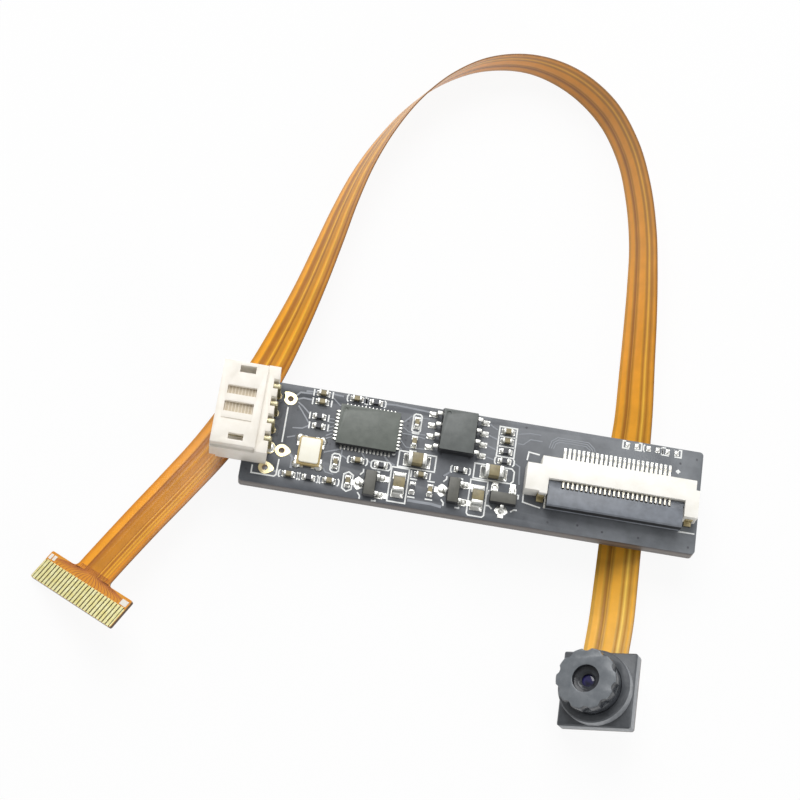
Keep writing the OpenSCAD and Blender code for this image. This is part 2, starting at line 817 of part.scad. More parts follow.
// Lens holder: square skirt over the sensor and a bored boss for the barrel
module lens_holder() {
    color("#3b3e40")
        in_head()
            difference() {
                union() {
                    translate([0, 0, holder_z0])
                        intersection() {
                            across_x(head_w)
                                skirt_outline();
                            rotate([0, 0, 90])
                                across_x(head_w)
                                    skirt_outline();
                            linear_extrude(skirt_h)
                                rounded_rect(head_w, head_w, skirt_r);
                        }
                    translate([0, 0, skirt_top - e])
                        rotate_extrude()
                            polygon([
                                [0, 0], [boss_d / 2, 0], [boss_d / 2, boss_h + e - 0.15],
                                [boss_d / 2 - 0.15, boss_h + e], [0, boss_h + e]
                            ]);
                }
                translate([0, 0, holder_z0 - e])
                    block([head_w - 2 * skirt_wall, head_w - 2 * skirt_wall,
                        skirt_h - bridge_t + e]);
                block([window_w, window_w, skirt_top + e]);
                translate([0, 0, skirt_top])
                    cylinder(h = boss_h + e, r = neck_d / 2 + neck_clearance);
            }
}

// Lens barrel: screwed neck, scalloped rim, stepped seats inside
module lens_barrel() {
    neck_r = neck_d / 2;
    rim_r = rim_d / 2;
    floor_z = rim_top - opening_depth;
    color("#35383a")
        in_head()
            difference() {
                rotate_extrude()
                    polygon([
                        [rear_lens_d / 2, barrel_z0], [neck_r - 0.1, barrel_z0], [neck_r, barrel_z0 + 0.1],
                        [neck_r, rim_z0 - 0.25], [neck_r - 0.15, rim_z0 - 0.25], [neck_r - 0.15, rim_z0],
                        [rim_r - 0.1, rim_z0], [rim_r, rim_z0 + 0.1], [rim_r, rim_top - 0.12],
                        [rim_r - 0.12, rim_top], [opening_d / 2 + 0.06, rim_top],
                        [opening_d / 2, rim_top - 0.06], [opening_d / 2, floor_z],
                        [stop_d / 2 + 0.35, floor_z], [stop_d / 2, stop_z], [stop_d / 2, stop_z - stop_t],
                        [front_lens_d / 2, stop_z - stop_t], [front_lens_d / 2, front_lens_z],
                        [middle_lens_d / 2, front_lens_z], [middle_lens_d / 2, middle_lens_z],
                        [rear_lens_d / 2, middle_lens_z]
                    ]);
                for (i = [0 : scallops - 1])
                    rotate([0, 0, 22 + i * 360 / scallops])
                        translate([rim_r + scallop_d / 2 - scallop_depth, 0, rim_z0 - e])
                            cylinder(h = rim_t + 2 * e, d = scallop_d);
            }
}

// Lens element: flat seat at z = 0, domed by its edge drop towards +z
module lens_element(d, t, drop) {
    r = d / 2 - lens_clearance;
    dome_r = (r * r + drop * drop) / (2 * drop);
    intersection() {
        cylinder(h = t, r = r);
        translate([0, 0, t - dome_r])
            sphere(dome_r, $fn = 180);
    }
}

module front_lens() {
    color("#5a5fa8", 0.6)
        in_head()
            translate([0, 0, front_lens_z + lens_clearance])
                lens_element(front_lens_d, front_lens_t - 2 * lens_clearance, 0.3);
}

module middle_lens() {
    color("#7c86b8", 0.6)
        in_head()
            translate([0, 0, middle_lens_z + lens_clearance])
                lens_element(middle_lens_d, middle_lens_t - 2 * lens_clearance, 0.25);
}

module rear_lens() {
    color("#8b95bd", 0.6)
        in_head()
            translate([0, 0, rear_lens_z])
                lens_element(rear_lens_d, rear_lens_t, 0.3);
}

// Ring between the middle and the rear element
module lens_spacer() {
    color("#26282a")
        in_head()
            translate([0, 0, rear_lens_z + rear_lens_t])
                difference() {
                    cylinder(h = spacer_t - lens_clearance, r = rear_lens_d / 2 - lens_clearance);
                    translate([0, 0, -e])
                        cylinder(h = spacer_t + e, r = rear_lens_d / 2 - 0.6);
                }
}

// Ring that closes the barrel behind the rear element
module lens_retainer() {
    color("#26282a")
        in_head()
            translate([0, 0, barrel_z0])
                difference() {
                    cylinder(h = rear_lens_z - barrel_z0 - lens_clearance,
                        r = rear_lens_d / 2 - lens_clearance);
                    translate([0, 0, -e])
                        cylinder(h = rear_lens_z - barrel_z0 + e, r = rear_lens_d / 2 - 0.5);
                }
}

// Catmull-Rom point between b and c, with a and d beyond them, f from 0 to 1
function spline(a, b, c, d, f) =
    0.5 * (2 * b + (c - a) * f + (2 * a - 5 * b + 4 * c - d) * f * f
    + (3 * b - a - 3 * c + d) * f * f * f);
function stop(i) = let (p = route[max(0, min(route_last, i))]) [head_x + p[0], head_y + p[1], p[2], p[3]];
function on_route(s) = let (i = min(floor(s), route_last - 1))
    spline(stop(i - 1), stop(i), stop(i + 1), stop(i + 2), s - i);
// Unit heading of the route in plan at s
function heading(s) = let (v = on_route(min(s + 0.1, route_last)) - on_route(max(s - 0.1, 0)))
    [v[0], v[1], v[2]] / norm([v[0], v[1], v[2]]);
function flat_ring(s) = let (
        q = on_route(s), t = heading(s),
        b = [t[1], -t[0], 0] / norm([t[0], t[1]]),
        u = cos(q[3]) * b + [0, 0, sin(q[3])],
        n = cross(u, t),
        p = [q[0], q[1], q[2]]
    ) [for (k = [[-1, -1], [1, -1], [1, 1], [-1, 1]]) p + k[0] * u * flex_w / 2 + k[1] * n * flex_t / 2];

module flex_cable() {
    rings = route_last * route_steps;
    points = [for (i = [0 : rings]) each flat_ring(i / route_steps)];
    sides = [for (i = [0 : rings - 1], k = [0 : 3])
        let (a = 4 * i + k, b = 4 * i + (k + 1) % 4)
        each k < 2
            ? [[a, b + 4, b], [a, a + 4, b + 4]]
            : [[a, a + 4, b], [b, a + 4, b + 4]]];
    last = 4 * rings;
    color("#c8821e")
        polyhedron(points, concat(sides, [[0, 1, 2, 3], [last + 3, last + 2, last + 1, last]]));
}

// Plan of the T-shaped plug end: neck, concave corners and head
module tail_plan() {
    translate([0, tail_l / 2])
        rounded_rect(tail_w, tail_l, 0.2);
    for (s = [-1, 1])
        difference() {
            translate([s * (flex_w / 2 + neck_fillet / 2) - neck_fillet / 2, -neck_fillet])
                square([neck_fillet, neck_fillet + 0.3]);
            translate([s * (flex_w / 2 + neck_fillet), -neck_fillet])
                circle(neck_fillet);
        }
}

module tail_flex() {
    color("#d08a20")
        at_tail()
            translate([0, 0, -flex_t / 2])
                linear_extrude(flex_t)
                    tail_plan();
}

module tail_stiffener() {
    color("#b9772a")
        at_tail()
            translate([0, 0, flex_t / 2])
                linear_extrude(stiffener_t)
                    translate([0, tail_l / 2])
                        rounded_rect(tail_w, tail_l, 0.2);
}

module tail_fingers() {
    color("#e8dc9a")
        at_tail()
            for (i = [0 : finger_count - 1])
                translate([(i - (finger_count - 1) / 2) * finger_pitch, tail_l - finger_l / 2,
                    -flex_t / 2 - finger_t])
                    block([finger_w, finger_l, finger_t]);
}

circuit_board();
plated_holes();
solder_pads();
header_housing();
header_pin_1();
header_pin_2();
header_pin_3();
header_pin_4();
fpc_socket_housing();
fpc_socket_actuator();
fpc_socket_contacts();
fpc_socket_anchor_left();
fpc_socket_anchor_right();
controller_chip();
controller_leads();
memory_chip();
memory_leads();
crystal_base();
crystal_lid();
regulator_1();
regulator_2();
regulator_3();
regulator_1_leads();
regulator_2_leads();
regulator_3_leads();
bulk_capacitor_1();
bulk_capacitor_2();
bulk_capacitor_3();
bulk_capacitor_4();
bulk_capacitor_terminals();
chip_capacitors();
chip_capacitor_terminals();
chip_resistors();
chip_resistor_terminals();
head_stiffener();
head_flex();
image_sensor();
sensor_glass();
infrared_filter();
lens_holder();
lens_barrel();
front_lens();
middle_lens();
rear_lens();
lens_spacer();
lens_retainer();
flex_cable();
tail_flex();
tail_stiffener();
tail_fingers();
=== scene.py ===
import json
import math

import bmesh
import bpy
from mathutils import Matrix, Vector


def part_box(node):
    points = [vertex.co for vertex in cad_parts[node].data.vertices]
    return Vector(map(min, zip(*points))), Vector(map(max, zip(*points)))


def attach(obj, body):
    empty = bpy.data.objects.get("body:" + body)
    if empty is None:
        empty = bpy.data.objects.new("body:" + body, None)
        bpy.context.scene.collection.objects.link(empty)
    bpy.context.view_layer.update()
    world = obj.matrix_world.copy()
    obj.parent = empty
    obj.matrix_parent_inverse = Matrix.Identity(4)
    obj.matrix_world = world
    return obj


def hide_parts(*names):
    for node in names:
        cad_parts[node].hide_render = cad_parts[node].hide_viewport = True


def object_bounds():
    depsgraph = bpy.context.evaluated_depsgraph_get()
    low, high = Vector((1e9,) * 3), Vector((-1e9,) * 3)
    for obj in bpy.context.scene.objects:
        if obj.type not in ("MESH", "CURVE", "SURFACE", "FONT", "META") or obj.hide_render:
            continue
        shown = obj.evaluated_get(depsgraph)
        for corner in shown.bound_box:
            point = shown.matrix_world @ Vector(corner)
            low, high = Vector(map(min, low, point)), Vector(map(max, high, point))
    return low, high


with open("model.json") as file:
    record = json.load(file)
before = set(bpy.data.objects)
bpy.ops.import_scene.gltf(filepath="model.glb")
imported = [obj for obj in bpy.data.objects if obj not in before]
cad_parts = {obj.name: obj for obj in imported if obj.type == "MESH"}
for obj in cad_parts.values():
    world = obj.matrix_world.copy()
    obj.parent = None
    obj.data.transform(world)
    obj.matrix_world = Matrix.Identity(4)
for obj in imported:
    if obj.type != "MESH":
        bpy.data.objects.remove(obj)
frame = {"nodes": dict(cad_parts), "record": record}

# Looks of the camera module. Lengths are in millimetres, and in metres where a name says so.
MM = 0.001
UP = (0, 0, 1)
cad_low, cad_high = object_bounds()
nodes = frame["nodes"]

# ---------------- camera
# The photograph's camera: its place, heading, elevation and roll
CAMERA_AT = Vector((-13.315, -65.325, 205.44)) * MM
CAMERA_AZIMUTH = math.radians(-4.32)
CAMERA_ELEVATION = math.radians(67.91)
CAMERA_ROLL = math.radians(13.48)


def make_camera():
    back = Vector((
        math.sin(CAMERA_AZIMUTH) * math.cos(CAMERA_ELEVATION),
        -math.cos(CAMERA_AZIMUTH) * math.cos(CAMERA_ELEVATION),
        math.sin(CAMERA_ELEVATION),
    ))
    level = Vector(UP).cross(back).normalized()
    steep = back.cross(level)
    right = level * math.cos(CAMERA_ROLL) + steep * math.sin(CAMERA_ROLL)
    up = back.cross(right)
    data = bpy.data.cameras.new("camera")
    data.sensor_width = 36
    data.lens = 90
    data.clip_start = 0.01
    data.clip_end = 10
    camera = bpy.data.objects.new("camera", data)
    camera.matrix_world = Matrix.Translation(CAMERA_AT) @ Matrix((right, up, back)).transposed().to_4x4()
    bpy.context.scene.collection.objects.link(camera)
    bpy.context.scene.camera = camera


make_camera()


# ---------------- helpers
def new_object(name, mesh, body, smooth=None):
    """Links a mesh, makes it ride on a body, and smooths faces that meet under `smooth` degrees."""
    piece = bpy.data.objects.new(name, mesh)
    bpy.context.scene.collection.objects.link(piece)
    if smooth:
        for face in mesh.polygons:
            face.use_smooth = True
        mesh.set_sharp_from_angle(angle=math.radians(smooth))
    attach(piece, body)
    return piece


def mesh_data(mesh, name, *materials):
    """Closes a bmesh and returns it as mesh data with its materials."""
    data = bpy.data.meshes.new(name)
    mesh.to_mesh(data)
    mesh.free()
    for material in materials:
        data.materials.append(material)
    return data


def module_piece(mesh, name, finish, smooth=None):
    """Makes a bmesh a piece of the module, with its faces turned outwards."""
    bmesh.ops.recalc_face_normals(mesh, faces=mesh.faces)
    new_object(name, mesh_data(mesh, name, FINISH[finish]), "module", smooth)


def walls(mesh, *rings):
    """Four-sided faces from each closed ring of vertices to the next."""
    for low, high in zip(rings, rings[1:]):
        for i in range(len(low)):
            j = (i + 1) % len(low)
            mesh.faces.new((low[i], low[j], high[j], high[i]))


def row(count, pitch):
    """Places of a centred row."""
    return [(i - (count - 1) / 2) * pitch for i in range(count)]


def rectangle(x0, y0, x1, y1):
    return [(x0, y0), (x1, y0), (x1, y1), (x0, y1)]


def cut_rectangle(x0, y0, x1, y1, cut, corners=(0, 1, 2, 3)):
    """A rectangle with corners cut off, which count from the first one round."""
    loop = []
    inward = ((1, 1), (-1, 1), (-1, -1), (1, -1))
    for k, ((x, y), (dx, dy)) in enumerate(zip(rectangle(x0, y0, x1, y1), inward)):
        ends = [(x, y + dy * cut), (x + dx * cut, y)] if k in corners else [(x, y)]
        loop += ends[::-1] if k % 2 else ends
    return loop


def linear(*display):
    """Linear colour of an 8-bit display colour."""
    shares = [value / 255 for value in display]
    return tuple(v / 12.92 if v <= 0.04045 else ((v + 0.055) / 1.055) ** 2.4 for v in shares)


class Shader:
    """A node material: a Principled shader and short helpers for the nodes that feed it."""

    # Cosine from which a face counts as one that looks along an axis
    FACING = 0.6

    def __init__(self, name, **values):
        self.material = bpy.data.materials.new(name)
        self.material.use_nodes = True
        self.tree = self.material.node_tree
        self.principled = self.tree.nodes["Principled BSDF"]
        for socket, value in values.items():
            self.principled.inputs[socket.replace("_", " ")].default_value = value
        self.place = None

    def node(self, kind, **settings):
        made = self.tree.nodes.new("ShaderNode" + kind)
        for key, value in settings.items():
            if key in made.inputs:
                made.inputs[key].default_value = value
            else:
                setattr(made, key, value)
        return made

    def link(self, source, target):
        self.tree.links.new(source, target)

    def coordinates(self):
        if self.place is None:
            self.place = self.node("TexCoord").outputs["Object"]
        return self.place

    def noise(self, size_mm, detail, stretch=None):
        """Noise with features about size_mm across, from 0 to 1."""
        made = self.node("TexNoise", Scale=1.0 / (size_mm * MM), Detail=detail, Roughness=0.55)
        source = self.coordinates()
        if stretch:
            mapping = self.node("Mapping")
            mapping.inputs["Scale"].default_value = stretch
            self.link(source, mapping.inputs["Vector"])
            source = mapping.outputs["Vector"]
        self.link(source, made.inputs["Vector"])
        return made.outputs["Fac"]

    def ramp(self, source, stops):
        """Colour ramp from (position, colour) pairs, colours as linear values."""
        made = self.node("ValToRGB")
        elements = made.color_ramp.elements
        while len(elements) < len(stops):
            elements.new(0.5)
        for element, (position, colour) in zip(elements, stops):
            element.position = position
            element.color = (*colour, 1)
        self.link(source, made.inputs["Fac"])
        return made.outputs["Color"]

    def mottle(self, size_mm, detail, dark, light):
        """A colour that wanders between two display colours, in patches about size_mm across."""
        return self.ramp(self.noise(size_mm, detail), [(0.3, linear(*dark)), (0.7, linear(*light))])

    def math(self, operation, first, second=None):
        made = self.node("Math", operation=operation)
        for socket, value in zip(made.inputs, (first, second)):
            if isinstance(value, (int, float)):
                socket.default_value = value
            elif value is not None:
                self.link(value, socket)
        return made.outputs[0]

    def vector(self, operation, source, constant=(0, 0, 0)):
        """Outputs of a vector operation between a source and a constant."""
        made = self.node("VectorMath", operation=operation)
        self.link(source, made.inputs[0])
        made.inputs[1].default_value = constant
        return made.outputs

    def facing(self, axis):
        """1 where the surface faces along the axis or against it, 0 on faces beside it."""
        normal = self.node("NewGeometry").outputs["Normal"]
        along = self.vector("DOT_PRODUCT", normal, axis)["Value"]
        return self.math("GREATER_THAN", self.math("ABSOLUTE", along), self.FACING)

    def spread(self, source, start, stop, low=0.0, high=1.0):
        """Low to high where the source goes from start to stop, and level beyond."""
        made = self.node("MapRange")
        for name, value in (("From Min", start), ("From Max", stop), ("To Min", low), ("To Max", high)):
            made.inputs[name].default_value = value
        self.link(source, made.inputs["Value"])
        return made.outputs["Result"]

    def mix(self, factor, first, second, blend="MIX"):
        made = self.node("Mix", data_type="RGBA", blend_type=blend)
        for key, value in ((0, factor), (6, first), (7, second)):
            socket = made.inputs[key]
            if isinstance(value, (int, float)):
                socket.default_value = value
            elif isinstance(value, tuple):
                socket.default_value = (*value, 1)
            else:
                self.link(value, socket)
        return made.outputs[2]

    def tint(self, colour, by):
        return self.mix(1.0, colour, by, "MULTIPLY")

    def colour(self, source):
        self.link(source, self.principled.inputs["Base Color"])

    def roughness(self, source, low, high):
        self.link(self.spread(source, 0.0, 1.0, low, high), self.principled.inputs["Roughness"])

    def bump(self, source, height_mm):
        made = self.node("Bump", Strength=1.0, Distance=height_mm * MM)
        previous = self.principled.inputs["Normal"]
        if previous.is_linked:
            self.link(previous.links[0].from_socket, made.inputs["Normal"])
        self.link(source, made.inputs["Height"])
        self.link(made.outputs["Normal"], previous)

    def grain(self, size_mm, detail, rough, bump_mm, stretch=None):
        """Fine noise that varies the roughness and raises the surface."""
        fine = self.noise(size_mm, detail, stretch)
        self.roughness(fine, *rough)
        self.bump(fine, bump_mm)


# ---------------- places
# The board's corners from the frame, to the nearest micrometre, and the front left corner of its top face
board_low, board_high = ([round(value / MM, 3) for value in corner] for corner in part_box("circuit_board"))
BOARD = Vector((board_low[0], board_low[1], board_high[2]))
# Camera head: its side, its lean on the table, the normal of its front and the middle of its underside
HEAD_WIDTH = 8.0
HEAD_LEAN = math.radians(27)
HEAD_AXIS = Vector((-math.sin(HEAD_LEAN), 0, math.cos(HEAD_LEAN)))
HEAD = Vector((18.525, -11.925, HEAD_WIDTH / 2 * math.sin(HEAD_LEAN)))

# ---------------- flat flex
FLEX_WIDTH = 5.0
FLEX_THICKNESS = 0.15
FLEX_LENGTH = 161.0
# Route of the strip's middle: x and y from the head's middle, height, and lean from level in degrees
ROUTE = [
    (-0.1, 4, 2.096, 27), (0.2, 7.75, 1.7, 27), (0.3, 11.75, 1.4, 30), (0.3, 15.75, 1.5, 33),
    (0.3, 19.75, 1.6, 35), (0.3, 23.75, 1.7, 37), (0.2, 27.75, 1.7, 38), (0.2, 31.95, 1.9, 45),
    (0, 37.45, 2, 50), (-0.2, 42.85, 2.1, 54), (-0.5, 48.25, 2.2, 59), (-1, 53.65, 2.3, 64),
    (-2.1, 59.15, 2.4, 68), (-3.9, 64.35, 2.5, 73), (-6.9, 69.05, 2.5, 78), (-11.3, 72.35, 2.5, 86),
    (-16.4, 73.65, 2.5, 96), (-21.5, 72.65, 2.5, 102), (-25.8, 69.85, 2.5, 107), (-29.2, 65.95, 2.4, 111),
    (-31.8, 61.35, 2.4, 115), (-33.8, 56.45, 2.3, 120), (-35.2, 51.35, 2.2, 125), (-36.3, 46.15, 2.1, 131),
    (-37.5, 40.75, 1.9, 137), (-38.9, 35.35, 1.9, 145), (-40.5, 29.95, 2, 153), (-42.5, 24.65, 2.2, 159),
    (-44.9, 19.65, 2.3, 159), (-47.7, 14.85, 2.5, 157), (-50.5, 10.25, 2.7, 155), (-53.2, 5.65, 2.9, 154),
    (-54.5, 3.35, 3, 154),
]
LAST = len(ROUTE) - 1
RINGS_PER_STEP = 12
COLUMNS = 40
# Height of the film over the copper runs, and the width over which it climbs to it
TRACK_RELIEF = 0.012
TRACK_EDGE = 0.08
# Half the film's thickness between the runs
FILM_HALF = FLEX_THICKNESS / 2 - TRACK_RELIEF
# Copper runs under the film, as (from, to) across the strip from its middle
TRACKS = [
    (-2.3, -1.45), (-1.3, -1.05), (-0.85, -0.6), (-0.3, 0.75),
    (0.95, 1.15), (1.35, 1.5), (1.7, 1.85), (2.05, 2.3),
]


def route_at(s):
    """Catmull-Rom point of the route at s, which counts route points."""
    i = min(int(s), LAST - 1)
    f = s - i
    a, b, c, d = (ROUTE[max(0, min(LAST, i + k))] for k in (-1, 0, 1, 2))
    return [
        0.5 * (2 * q + (r - p) * f + (2 * p - 5 * q + 4 * r - t) * f * f + (3 * q - p - 3 * r + t) * f ** 3)
        for p, q, r, t in zip(a, b, c, d)
    ]


def strip_axes(s):
    """Point, across direction and face normal of the strip at s."""
    x, y, z, lean = route_at(s)
    x, y = x + HEAD.x, y + HEAD.y
    before = Vector(route_at(max(s - 0.1, 0))[:3])
    after = Vector(route_at(min(s + 0.1, LAST))[:3])
    onward = (after - before).normalized()
    level = Vector((onward.y, -onward.x, 0)).normalized()
    angle = math.radians(lean)
    across = level * math.cos(angle) + Vector((0, 0, math.sin(angle)))
    return Vector((x, y, z)), across, across.cross(onward).normalized()


def relief(u):
    """Height of the film over the copper runs at u millimetres across the strip."""
    height = 0.0
    for low, high in TRACKS:
        edge = min(u - low, high - u)
        height = max(height, min(1.0, max(0.0, edge / TRACK_EDGE + 0.5)))
    return height * TRACK_RELIEF


def flex_strip():
    """The long flex as one closed strip with tracks in low relief; UVs are (across, along)."""
    mesh = bmesh.new()
    strip_uv = mesh.loops.layers.uv.new("strip")
    half = FLEX_WIDTH / 2
    columns = [half * (2 * k / COLUMNS - 1) for k in range(COLUMNS + 1)]
    grid = []
    along = 0.0
    middle = []
    for i in range(LAST * RINGS_PER_STEP + 1):
        point, across, normal = strip_axes(i / RINGS_PER_STEP)
        if middle:
            along += (point - middle[-1]).length
        middle.append(point)
        ring = []
        for side in (1, -1):
            ring.append([
                mesh.verts.new((point + across * u + normal * side * (FILM_HALF + relief(u))) * MM)
                for u in columns
            ])
        grid.append((ring, along))

    def face(corners, uvs, material):
        made = mesh.faces.new(corners)
        made.material_index = material
        made.smooth = True
        for loop, uv in zip(made.loops, uvs):
            loop[strip_uv].uv = uv

    for (ring, start), (following, stop) in zip(grid, grid[1:]):
        for k in range(COLUMNS):
            u0, u1 = k / COLUMNS, (k + 1) / COLUMNS
            face(
                (ring[0][k], ring[0][k + 1], following[0][k + 1], following[0][k]),
                ((u0, start), (u1, start), (u1, stop), (u0, stop)), 0)
            face(
                (following[1][k], following[1][k + 1], ring[1][k + 1], ring[1][k]),
                ((u0, stop), (u1, stop), (u1, start), (u0, start)), 1)
        for k, order in ((0, 1), (COLUMNS, -1)):
            corners = (ring[0][k], following[0][k], following[1][k], ring[1][k])
            uvs = ((0, start), (0, stop), (1, stop), (1, start))
            face(corners[::order], uvs[::order], 2)
    for (ring, at), order in ((grid[0], -1), (grid[-1], 1)):
        corners = (ring[0] + ring[1][::-1])[::order]
        face(corners, [(0, at)] * len(corners), 2)
    data = mesh_data(
        mesh, "flex_strip", film_finish("flex_front", FRONT_BANDS),
        film_finish("flex_back", BACK_BANDS, TAIL_BANDS), edge_finish())
    data.set_sharp_from_angle(angle=math.radians(50))
    return data, [point * MM for point in middle]


# Film colours
AMBER = linear(236, 158, 58)
BRIGHT = linear(250, 176, 62)
TAN = linear(206, 142, 60)
DARK = linear(178, 112, 34)
DEEP = linear(160, 98, 26)
PALE = linear(246, 188, 96)

# Colour bands across the strip: (millimetres from the lower edge, colour)
FRONT_BANDS = [
    (0, TAN), (0.35, TAN), (0.5, AMBER), (1, AMBER), (1.2, TAN), (1.35, DARK), (1.6, DEEP),
    (1.75, TAN), (1.85, DARK), (2, TAN), (2.2, AMBER), (3.05, AMBER), (3.2, TAN), (3.4, DARK),
    (3.55, TAN), (3.75, PALE), (3.95, TAN), (4.2, DARK), (4.4, TAN), (4.65, AMBER), (4.85, TAN),
    (5, DARK),
]
BACK_BANDS = [
    (0, TAN), (0.3, TAN), (0.45, AMBER), (0.9, BRIGHT), (1.05, TAN), (1.2, DARK), (1.6, DARK),
    (1.95, TAN), (2.1, PALE), (2.3, TAN), (2.5, DEEP), (2.7, TAN), (2.9, TAN), (3.15, TAN), (3.3, AMBER),
    (3.6, PALE), (3.8, TAN), (4, TAN), (4.25, DARK), (4.4, DEEP), (4.65, TAN), (5, DARK),
]
TAIL_BANDS = [
    (0, TAN), (0.3, AMBER), (0.6, BRIGHT), (1.05, BRIGHT), (1.2, DEEP), (1.35, DARK), (2, TAN),
    (2.4, TAN), (2.95, TAN), (3.1, DARK), (3.2, PALE), (3.3, TAN), (3.45, DARK), (3.6, TAN), (3.75, PALE),
    (3.85, TAN), (3.95, TAN), (4.15, PALE), (4.3, TAN), (4.5, AMBER), (4.7, TAN), (5, DEEP),
]


def band_ramp(look, across, bands):
    return look.ramp(across, [(at / FLEX_WIDTH, colour) for at, colour in bands])


# Painted light and shade along the strip, as a tint from the head to the tail that is lighter near the head
# and darker towards the tail: (share of its length, colour)
PAINTED_LIGHT_ALONG = [
    (0.0, (1.12, 1.4, 1.2)), (0.05, (1.12, 1.35, 0.9)), (0.1, (1.12, 1.25, 0.55)), (0.22, (1.0, 1.0, 0.5)),
    (0.33, (0.92, 0.92, 0.4)), (0.8, (0.98, 0.94, 0.25)), (0.9, (0.9, 0.78, 0.1)),
]
# Millimetres along the strip between which its back face changes to the tail's bands
TAIL_STARTS, TAIL_FULL = 135, 150


def film_finish(name, bands, later_bands=None):
    """Glossy amber film whose copper runs show as bands across the strip, with painted light and shade along
    its length.
    """
    look = Shader(name, IOR=1.5, Coat_Weight=0.05, Coat_Roughness=0.22)
    split = look.node("SeparateXYZ")
    look.link(look.node("UVMap", uv_map="strip").outputs["UV"], split.inputs[0])
    along = split.outputs["Y"]
    waver = look.math("MULTIPLY", look.math("SUBTRACT", look.noise(9, 1), 0.5), 0.02)
    across = look.math("ADD", split.outputs["X"], waver)
    colour = band_ramp(look, across, bands)
    if later_bands:
        change = look.spread(along, TAIL_STARTS, TAIL_FULL)
        colour = look.mix(change, colour, band_ramp(look, across, later_bands))
    clouds = look.ramp(look.noise(2.2, 3), [(0.25, (0.86, 0.86, 0.84)), (0.75, (1.06, 1.05, 1.03))])
    colour = look.tint(colour, clouds)
    # Painted light and shade: the tint along the strip lightens it near the head and darkens it towards the
    # tail
    look.colour(look.tint(colour, look.ramp(look.math("DIVIDE", along, FLEX_LENGTH), PAINTED_LIGHT_ALONG)))
    look.grain(0.25, 3, (0.24, 0.4), 0.004)
    look.bump(look.noise(3.0, 2), 0.03)
    return look.material


def edge_finish():
    look = Shader("flex_edge", Roughness=0.5)
    look.colour(look.mottle(0.4, 2, (120, 78, 30), (150, 100, 44)))
    return look.material


strip_mesh, strip_middle = flex_strip()
flex = new_object("flex_strip", strip_mesh, "module")
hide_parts("flex_cable")


# ---------------- finishes of the CAD nodes
# Copper pours that show faintly through the solder mask, as stops of a slow noise
POURS = [(0.42, linear(102, 106, 111)), (0.5, linear(113, 117, 122)), (0.58, linear(120, 124, 129))]
# Painted light that falls off along the board: a tint of the mask from its left end, darkest, to its right
# one
MASK_PAINTED_FALLOFF = [
    (0.0, (0.5, 0.51, 0.53)), (0.3, (0.62, 0.62, 0.64)), (0.6, (0.76, 0.76, 0.77)), (1.0, (0.98, 0.98, 0.97)),
]
# Layers of the laminate on the board's sides, from the underside up
LAYERS = [
    (0.02, linear(58, 52, 50)), (0.12, linear(104, 97, 93)), (0.3, linear(90, 82, 78)),
    (0.55, linear(114, 106, 101)), (0.8, linear(100, 92, 88)), (0.97, linear(74, 72, 74)),
]
# How far the layers waver up and down
LAYER_WAVER = 0.12
# Normal of the strip at its tail end
TAIL_AXIS = strip_axes(LAST)[2]
# The front opening of the barrel, inside which shade is painted: its radius, and its height over the head's
# underside
OPENING_RADIUS = 1.46
OPENING_TOP = 5.76


def mask_finish():
    """Satin solder mask with faint copper pours under it and painted light that falls off towards the board's
    left end; the board's sides show the laminate's layers.
    """
    look = Shader("solder_mask", IOR=1.5)
    place = look.node("SeparateXYZ")
    look.link(look.coordinates(), place.inputs[0])
    cloth = look.ramp(look.noise(0.5, 4), [(0.3, (0.93, 0.93, 0.93)), (0.7, (1.07, 1.07, 1.07))])
    face = look.tint(look.ramp(look.noise(5, 2), POURS), cloth)
    # Painted light: the top face darkens towards the board's left end
    length = look.spread(place.outputs["X"], board_low[0] * MM, board_high[0] * MM)
    face = look.tint(face, look.ramp(length, MASK_PAINTED_FALLOFF))
    waver = look.math("MULTIPLY", look.noise(0.6, 2), LAYER_WAVER * MM)
    height = look.math("ADD", place.outputs["Z"], waver)
    layers = look.ramp(look.spread(height, board_low[2] * MM, board_high[2] * MM), LAYERS)
    threads = look.noise(0.25, 3, stretch=(1, 1, 5))
    fibres = look.ramp(threads, [(0.3, (0.85, 0.85, 0.85)), (0.7, (1.12, 1.12, 1.1))])
    look.colour(look.mix(look.facing(UP), look.tint(layers, fibres), face))
    look.grain(0.12, 3, (0.38, 0.5), 0.004)
    look.bump(look.noise(0.9, 2), 0.008)
    return look.material


def plain_finish(name, dark, light, grain_mm, bump_mm, rough):
    """A moulded or ceramic surface: two close colours mottled at grain size, with a fine bump."""
    look = Shader(name)
    look.colour(look.mottle(grain_mm * 6, 4, dark, light))
    look.grain(grain_mm, 4, rough, bump_mm)
    return look.material


def metal_finish(name, dark, light, grain_mm, bump_mm, rough):
    look = Shader(name, Metallic=1.0)
    look.colour(look.mottle(grain_mm * 5, 3, dark, light))
    look.grain(grain_mm, 3, rough, bump_mm)
    return look.material


def glass_finish(name, dark, light):
    """Dark coated glass: colour drifts slowly over the element."""
    look = Shader(name, IOR=1.6)
    look.colour(look.mottle(0.8, 1, dark, light))
    look.roughness(look.noise(0.3, 2), 0.04, 0.1)
    return look.material


def sheet_film(name, dark, light, axis):
    """Glossy amber film over copper, without the strip's bands; its cut edges are dark."""
    look = Shader(name, IOR=1.5, Coat_Weight=0.15, Coat_Roughness=0.22)
    cut = look.mottle(0.3, 2, (58, 48, 35), (89, 69, 43))
    look.colour(look.mix(look.facing(axis), cut, look.mottle(1.6, 3, dark, light)))
    look.grain(0.25, 3, (0.24, 0.4), 0.004)
    return look.material


